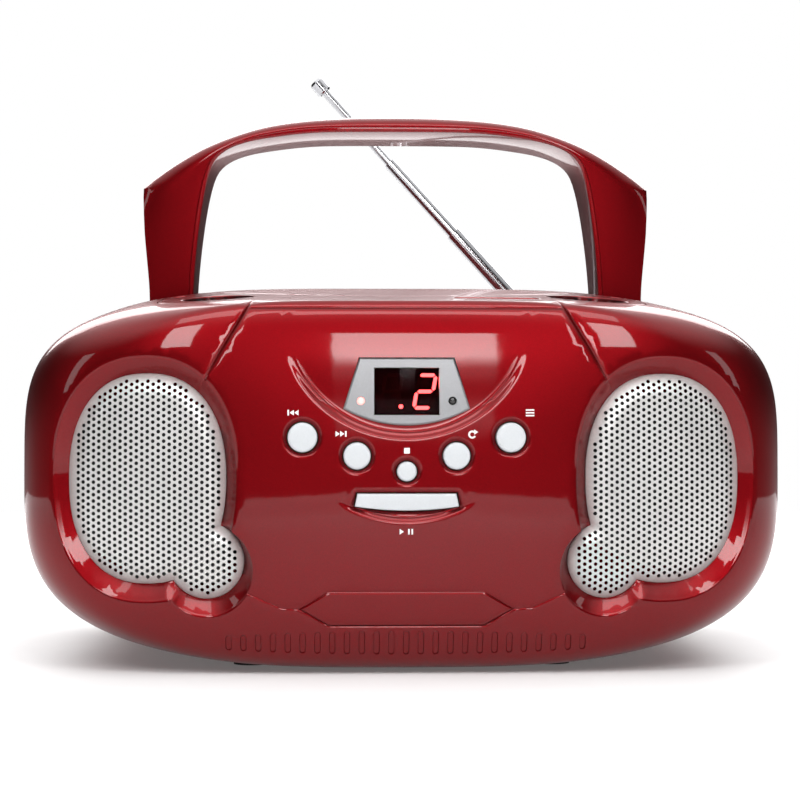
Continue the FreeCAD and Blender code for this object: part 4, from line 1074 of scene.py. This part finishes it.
def aerial_shelf():
    """The aerial shelf's front wall and floor, with a flange under the skin, and the wall at its end."""
    xs = np.arange(-116.0, NOTCH_RIGHT + 0.1, 2.0)
    tops = top_z(xs, NOTCH_FRONT)
    xs, tops = xs[tops > NOTCH_FLOOR + 0.2], tops[tops > NOTCH_FLOOR + 0.2]
    edge = np.minimum(rear_y(xs, NOTCH_FLOOR), REAR_FLAT)
    rows = [columns(xs, NOTCH_FRONT - 2.5, tops - 0.5), columns(xs, NOTCH_FRONT, tops - 0.5),
            columns(xs, NOTCH_FRONT, NOTCH_FLOOR + 0.8), columns(xs, NOTCH_FRONT + 0.3, NOTCH_FLOOR + 0.2),
            columns(xs, NOTCH_FRONT + 0.9, NOTCH_FLOOR),
            columns(xs, np.maximum(edge, NOTCH_FRONT + 0.95), NOTCH_FLOOR)]
    make_mesh("aerial_shelf", *skinned(rows, closed=False), RED, angle=30)
    ys = np.linspace(NOTCH_FRONT, NOTCH_FRONT + 14, 12)
    tops = top_z(NOTCH_RIGHT, ys)
    ys, tops = ys[tops > NOTCH_FLOOR], tops[tops > NOTCH_FLOOR]
    rows = [columns(NOTCH_RIGHT, ys, tops - 0.02), columns(NOTCH_RIGHT, ys, NOTCH_FLOOR)]
    make_mesh("aerial_shelf_end", *skinned(rows, closed=False), RED)


def linings():
    """The handle channels, the aerial's shelf, the battery bay, the vents' black pockets (painted shade for
    the dark inside behind them) and the screw wells.
    """
    for side, word in SIDES:
        well(word + "_channel", dense(CHANNELS[side], 2.5), CHANNEL_FLOOR, 0.02, RED)
    aerial_shelf()
    for n, (loop, depth, closed) in enumerate(rear_openings()):
        x, z = loop.T
        mouth = np.minimum(rear_y(x, z), REAR_FLAT)
        # Pockets with a floor are lined black: in the vents these black walls and floor are painted shade,
        # standing in for the dark inside of the cabinet.
        form = skinned([columns(x, mouth - 0.03, z), columns(x, depth, z)], caps=(1,) if closed else ())
        make_mesh(f"rear_pocket_{n}", *form, BLACK if closed else RED)


# ------------------------------------------------------------------ the top plate and the lid

LID_Y, LID_RADIUS, WELL_RADIUS, WELL_FLOOR = -14.0, 63.0, 61.4, 107.0
HINGE_HALF, HINGE_Y, HINGE_Z = 27.0, 53.0, 119.3
KNUCKLE_STARTS, KNUCKLE_LONG = (-24.0, 14.0), 10.0
KNOB_X, KNOB_Y = 59.0, -72.0
KNOB_RADII = {-1: 11.0, 1: 12.5}
KNOB_STEPS, KNOB_RIBS, RIB_DEEP = 240, 48, 0.28
DECK_SINK, DECK_THICK, DECK_ROUND = 0.05, 2.2, 0.45
LID_THICK, LID_ROUND, LINING_DROP = 1.9, 0.6, 2.1
SLIDER_X, SLIDER_Y, SLIDER_FLOOR = 73.0, -40.0, 112.6
SLIDER_SLOT = (2.6, 7.0)
DIAL_Y, DIAL_FROM, DIAL_TO, DIAL_HALF = -84.0, 16.0, 42.0, 2.6
TURNTABLE_HOLE, PICKUP_SLOT_END, PICKUP_SLOT_HALF = 17.0, 60.0, 8
# The disc well's floor steps up outside the first radius and inside the second.
WELL_STEPS = (57.3, 30.3)
WELL_STEP = 0.3


def lid_line(grow=0.0):
    """The lid seen from above: a circle with a square tail at its hinge."""
    tail, rear = HINGE_HALF + grow, HINGE_Y - 0.6 + (3.4 if grow else 0)
    radius = LID_RADIUS + grow
    turn = math.asin(tail / radius)
    angle = np.linspace(math.pi / 2 + turn, 2 * math.pi + math.pi / 2 - turn, 120)
    ring = columns(radius * np.cos(angle), LID_Y + radius * np.sin(angle))
    return dense(np.concatenate([ring, [(tail, rear), (-tail, rear)]]), 2.0)


def knob_hole(side):
    return circle(side * KNOB_X, KNOB_Y, KNOB_RADII[side] + 0.5, 72)


def slider_hole(side):
    return dense(box_about(side * SLIDER_X, SLIDER_Y, *SLIDER_SLOT), 1.5)


def top_sheet(outline, holes, sink, thick, edge_round):
    """A plate that follows the skin's crown, with rounded-over edges."""
    low, high = outline.min(0), outline.max(0)
    field = grid(np.arange(low[0], high[0], 4.0), np.arange(low[1], high[1], 4.0))
    field = field[signed(field, outline) < -0.9]
    steps = (0.25, edge_round, 1.0)
    for step in steps:
        inner = drawn_in(outline, step)
        field = np.concatenate([field, inner[signed(inner, outline) < -step * 0.8]])
    for hole in holes:
        for step in steps:
            outer = drawn_in(hole, -step)
            field = np.concatenate([field, outer[signed(outer, outline) < -0.3]])
        field = field[signed(field, hole) > 0.15]
    flat, faces = triangulated([(line, True) for line in [outline] + holes], field, 0.12)
    gap = -signed(flat, outline)
    for hole in holes:
        gap = np.minimum(gap, np.abs(signed(flat, hole)))
    left = np.clip(1 - gap / edge_round, 0, 1)
    drop = edge_round * (1 - np.sqrt(1 - left ** 2))
    points = columns(*flat.T, top_over(flat) - sink - drop)
    return rim_walls(points, cut_out(flat, faces, outline, holes), (0, 0, -thick))


def deck_outline():
    """The top plate's outline, stepped in round the handle channels."""
    loop = round_box(DECK_HALF, DECK_FRONT, DECK_REAR, DECK_CORNER)
    per_corner = CORNER_STEPS + 1
    rear, front = loop[:2 * per_corner], loop[2 * per_corner:]
    rear = rear[rear[:, 1] > CHANNEL_REAR + GAP + 0.1]
    step = np.array([(DECK_HALF, CHANNEL_FRONT - GAP), (CHANNEL_IN - 2.0, CHANNEL_FRONT - GAP),
                     (CHANNEL_IN - 2.0, CHANNEL_REAR + GAP), (DECK_HALF, CHANNEL_REAR + GAP)])
    return dense(np.concatenate([rear, mirrored(step, -1), front, step]), 2.0)


def top_deck():
    holes = [lid_line(0.4)]
    for side, _ in SIDES:
        holes += [knob_hole(side), slider_hole(side)]
    holes.append(dense(box_line(DIAL_FROM, DIAL_TO, DIAL_Y - DIAL_HALF, DIAL_Y + DIAL_HALF), 1.5))
    points, faces = top_sheet(deck_outline(), holes, DECK_SINK, DECK_THICK, DECK_ROUND)
    make_mesh("deck_plate", points, faces, RED, replaces=["top_deck"], angle=40)
    disc_well()
    for side, word in SIDES:
        well(word + "_knob_well", knob_hole(side), WELL_FLOOR, 0.42, BLACK)
        well(word + "_slider_slot", slider_hole(side), SLIDER_FLOOR, 0.42, BLACK)


def disc_well():
    """The round well under the lid, with a hole for the turntable and a slot for the pickup."""
    ring = circle(0, LID_Y, WELL_RADIUS, 120)
    rows = [columns(*ring.T, top_over(ring, 2.6)), columns(*ring.T, WELL_FLOOR + 1.0),
            columns(*(ring * 0.995).T, WELL_FLOOR + WELL_STEP)]
    make_mesh("disc_well_wall", *skinned(rows), BLACK)
    slot = box_line(0.0, PICKUP_SLOT_END, LID_Y - PICKUP_SLOT_HALF, LID_Y + PICKUP_SLOT_HALF)
    hole = joined(circle(0, LID_Y, TURNTABLE_HOLE, 60), dense(slot, 2.0))
    outer = ring * 0.9965
    field = grid(np.arange(-60, 61, 4.0), np.arange(-75, 48, 4.0))
    field = field[(signed(field, outer) < -1) & (signed(field, hole) > 1)]
    for radius in WELL_STEPS:
        for beside in (-0.3, 0.3):
            step = circle(0, LID_Y, radius + beside, 90)
            field = np.concatenate([field, step[signed(step, hole) > 0.4]])
    flat, faces = triangulated([(outer, True), (hole, True)], field, 0.3)
    radius = np.hypot(flat[:, 0], flat[:, 1] - LID_Y)
    z = WELL_FLOOR + WELL_STEP * ((radius > WELL_STEPS[0]) | (radius < WELL_STEPS[1]))
    points, faces = rim_walls(columns(*flat.T, z), cut_out(flat, faces, outer, [hole]), (0, 0, -1.8))
    make_mesh("disc_well_floor", points, faces, BLACK, angle=30)


def disc_lid():
    """The domed lid: its plate, the lining under it and its two hinge knuckles."""
    points, faces = top_sheet(lid_line(), [], 0.0, LID_THICK, LID_ROUND)
    make_mesh("lid_plate", points, faces, RED, body="disc_lid", replaces=["cd_lid"], angle=40)
    outline = lid_line(-1.2)
    field = grid(np.arange(-60, 61, 5.0), np.arange(-75, 52, 5.0))
    flat, faces = triangulated([(outline, True)], field[signed(field, outline) < -1], 0.5)
    points = columns(*flat.T, top_over(flat, LINING_DROP))
    make_mesh("lid_lining", points, cut_out(flat, faces, outline), BLACK, body="disc_lid", slot="red_gloss")
    for n, low in enumerate(KNUCKLE_STARTS):
        rows = []
        for along, radius in ((0, 2.0), (0.4, 2.35), (KNUCKLE_LONG - 0.4, 2.35), (KNUCKLE_LONG, 2.0)):
            rows.append(columns(low + along, *circle(HINGE_Y, HINGE_Z, radius, 24).T))
        make_mesh(f"lid_knuckle_{n}", *skinned(rows, caps=(0, 3)), BLACK, body="disc_lid", slot="red_gloss")


def knob(name, side):
    """A turned knob with fine ribs round its rim, a dished top and an index mark."""
    radius = KNOB_RADII[side]
    top = node_box(name)[1][2]
    # Each row: radius, height, and how much of the ribs' depth it has.
    profile = [(radius - 0.5, 107.8, 0), (radius, 108.3, 1), (radius, top - 1.1, 1),
               (radius - 0.35, top - 0.45, 0.4), (radius - 1.1, top, 0), (radius - 1.9, top - 0.05, 0),
               (radius - 2.5, top - 0.55, 0), (radius * 0.4, top - 0.75, 0)]
    angle = turns(KNOB_STEPS)
    ribs = RIB_DEEP * (0.5 - 0.5 * np.cos(angle * KNOB_RIBS))
    rows = [columns(side * KNOB_X + (reach - ribs * ribbed) * np.cos(angle),
                    KNOB_Y + (reach - ribs * ribbed) * np.sin(angle), z) for reach, z, ribbed in profile]
    make_mesh(name + "_cap", *skinned(rows, caps=(len(rows) - 1,)), SILVER, body=name,
              replaces=[name], angle=40)
    mark = dense(box_about(side * KNOB_X, KNOB_Y + radius * 0.62, 0.45, 1.6), 0.8)
    rows = [columns(*mark.T, top - 0.52), columns(*mark.T, top - 0.52 - 0.3)]
    make_mesh(name + "_mark", *skinned(rows, caps=(0,)), BLACK, body=name)


# ------------------------------------------------------------------ pictograms

def printed(name, loops):
    """Flat white print on the front's skin, as thin shapes just above it."""
    points, faces = [], []
    for loop in loops:
        loop = dense(loop, 0.9)
        flat, tris = triangulated([(loop, True)], np.zeros((0, 2)), 0.2)
        faces += [tuple(int(i) + len(points) for i in tri) for tri in cut_out(flat, tris, loop)]
        y = front_y(flat[:, 0], flat[:, 1]) + front_dent(flat) - 0.03
        points += [tuple(p) for p in columns(flat[:, 0], y, flat[:, 1])]
    make_mesh(name, points, faces, INK, slot="white_plastic")


def triangle(x, z, way, size=0.85):
    return np.array([(x, z - size), (x + way * size * 1.5, z), (x, z + size)])


def bar(x, z, wide=0.5, tall=1.7):
    return box_about(x, z, wide / 2, tall / 2)


def loop_arrow(x, z, radius, thick=0.28):
    """An open ring with an arrow head."""
    angle = np.radians(np.linspace(50, 330, 24))
    outer, inner = (columns(x + reach * np.cos(angle), z + reach * np.sin(angle))
                    for reach in (radius + thick, radius - thick))
    return [np.concatenate([outer, inner[::-1]]), triangle(x + radius * 0.62, z + radius * 0.78, 1, 0.8)]


def pictograms():
    """Plain symbols in place of the words beside the keys."""
    x, z = -34.2, 80.0
    printed("mark_skip_back", [bar(x - 1.7, z), triangle(x, z, -1), triangle(x + 1.4, z, -1)])
    x, z = -20.2, 73.6
    printed("mark_skip_forward", [triangle(x - 1.4, z, 1), triangle(x, z, 1), bar(x + 1.7, z)])
    printed("mark_stop", [bar(0, 68.5, 1.7)])
    printed("mark_repeat", loop_arrow(19.8, 73.4, 0.95))
    x, z = 37.4, 80.0
    printed("mark_program", [bar(x, z + step, 2.6, 0.42) for step in (-0.85, 0, 0.85)])
    x, z = -0.2, 44.0
    printed("mark_play_pause", [triangle(x - 2.0, z, 1), bar(x + 0.8, z), bar(x + 1.8, z)])


# ------------------------------------------------------------------ the stage, in metres

FLOOR_HALF = 1.4
# Each light: name, place, aim, size, power, and its brightness from lower edge to upper edge.
LIGHTS = [
    ("front_strip", (0.03, -0.70, 0.240), (0.03, -0.1, 0.085), (0.11, 0.30), 1.7,
     ((0.0, 0.0), (0.2, 0.08), (0.6, 0.9), (1.0, 0.8))),
    ("key", (0.0, -0.80, 1.05), (0.0, 0.0, 0.1), (1.0, 0.30), 4.5, ()),
    ("arch_left", (-0.28, -0.67, 0.44), (-0.08, 0.0, 0.15), (0.10, 0.20), 0.8, ()),
    ("arch_right", (0.28, -0.67, 0.44), (0.08, 0.0, 0.15), (0.10, 0.20), 0.8, ()),
    ("from_behind", (0.0, 1.1, 0.75), (0.0, 0.0, 0.1), (1.6, 0.6), 14, ()),
    ("left_side", (-0.95, -0.45, 0.45), (0.0, 0.0, 0.08), (0.12, 0.4), 0.5, ()),
    ("right_side", (0.95, -0.45, 0.45), (0.0, 0.0, 0.08), (0.12, 0.4), 0.5, ()),
]


def floor():
    """White paper that glows more with distance, so its far edge meets the white room."""
    paper = finish_of("floor_paper", (0.78, 0.78, 0.78), 0.6, grain=60, spread=0.01, bump=0.02,
                      Emission_Strength=1.0)
    tree = paper.node_tree
    place = node(tree, "ShaderNodeTexCoord")
    away = node(tree, "ShaderNodeVectorMath", operation="LENGTH")
    glow = node(tree, "ShaderNodeMapRange", From_Min=0.35, From_Max=1.15, To_Min=0.12, To_Max=1.0)
    wire(tree, (place, "Object", away, 0), (away, "Value", glow, "Value"),
         (glow, "Result", tree.nodes["Principled BSDF"], "Emission Color"))
    mesh = bpy.data.meshes.new("floor")
    corners = box_line(-FLOOR_HALF, FLOOR_HALF, -FLOOR_HALF, FLOOR_HALF)
    mesh.from_pydata([(x, y, 0) for x, y in corners], [], [(0, 1, 2, 3)])
    mesh.materials.append(paper)
    piece = bpy.data.objects.new("floor", mesh)
    bpy.context.collection.objects.link(piece)


def softbox(name, place, aim, size, power, fade):
    """A rectangular light; fade gives its brightness from its lower edge to its upper edge."""
    light = bpy.data.lights.new(name, "AREA")
    light.shape = "RECTANGLE"
    light.size, light.size_y = size
    light.energy = power
    if fade:
        light.use_nodes = True
        tree = light.node_tree
        geometry = node(tree, "ShaderNodeNewGeometry")
        apart = node(tree, "ShaderNodeSeparateXYZ")
        ramp = node(tree, "ShaderNodeValToRGB")
        ramp.color_ramp.interpolation = "EASE"
        for n, (position, value) in enumerate(fade):
            stop = ramp.color_ramp.elements[n] if n < 2 else ramp.color_ramp.elements.new(position)
            stop.position = position
            stop.color = (value, value, value, 1)
        wire(tree, (geometry, "Parametric", apart, "Vector"), (apart, "Y", ramp, "Fac"),
             (ramp, "Color", tree.nodes["Emission"], "Strength"))
    lamp = bpy.data.objects.new(name, light)
    bpy.context.collection.objects.link(lamp)
    lamp.location = place
    lamp.rotation_mode = "QUATERNION"
    lamp.rotation_quaternion = (Vector(aim) - Vector(place)).to_track_quat("-Z", "Y")
    lamp.visible_camera = False


def world():
    """A white room to the camera's eye; what lights the object is a broad glow overhead in a dim room."""
    room = bpy.data.worlds.new("studio")
    bpy.context.scene.world = room
    room.use_nodes = True
    tree = room.node_tree
    glow = tree.nodes["Background"]
    place = node(tree, "ShaderNodeTexCoord")
    apart = node(tree, "ShaderNodeSeparateXYZ")
    ramp = node(tree, "ShaderNodeValToRGB")
    ramp.color_ramp.interpolation = "EASE"
    low, high = ramp.color_ramp.elements
    low.position, low.color = 0.50, (0.03, 0.03, 0.03, 1)
    high.position, high.color = 0.84, (1.60, 1.60, 1.60, 1)
    white = node(tree, "ShaderNodeBackground", Strength=1.0, Color=(1, 1, 1, 1))
    seen = node(tree, "ShaderNodeLightPath")
    mix = node(tree, "ShaderNodeMixShader")
    wire(tree, (place, "Generated", apart, "Vector"), (apart, "Z", ramp, "Fac"),
         (ramp, "Color", glow, "Color"), (seen, "Is Camera Ray", mix, "Fac"),
         (glow, "Background", mix, 1), (white, "Background", mix, 2),
         (mix, "Shader", tree.nodes["World Output"], "Surface"))


def camera():
    data = bpy.data.cameras.new("camera")
    data.sensor_width = 36
    data.lens = 36 * 2190 / 800
    eye = bpy.data.objects.new("camera", data)
    bpy.context.collection.objects.link(eye)
    eye.location = (-0.025, -0.768, 0.0717)
    eye.rotation_euler = (math.radians(90 + 1.05), 0, math.radians(-1.98))
    bpy.context.scene.camera = eye


dress_cad_nodes()
front_cabinet()
rear_cabinet()
for side, word in SIDES:
    grille(side, word)
for name in KEYS:
    key(name)
play_key()
bezel()
window_pane()
display()
lamps()
badge()
handle()
linings()
top_deck()
disc_lid()
knob("volume_knob", -1)
knob("tuning_knob", 1)
pictograms()
floor()
world()
for light in LIGHTS:
    softbox(*light)
bpy.context.scene.view_settings.view_transform = "Standard"
camera()
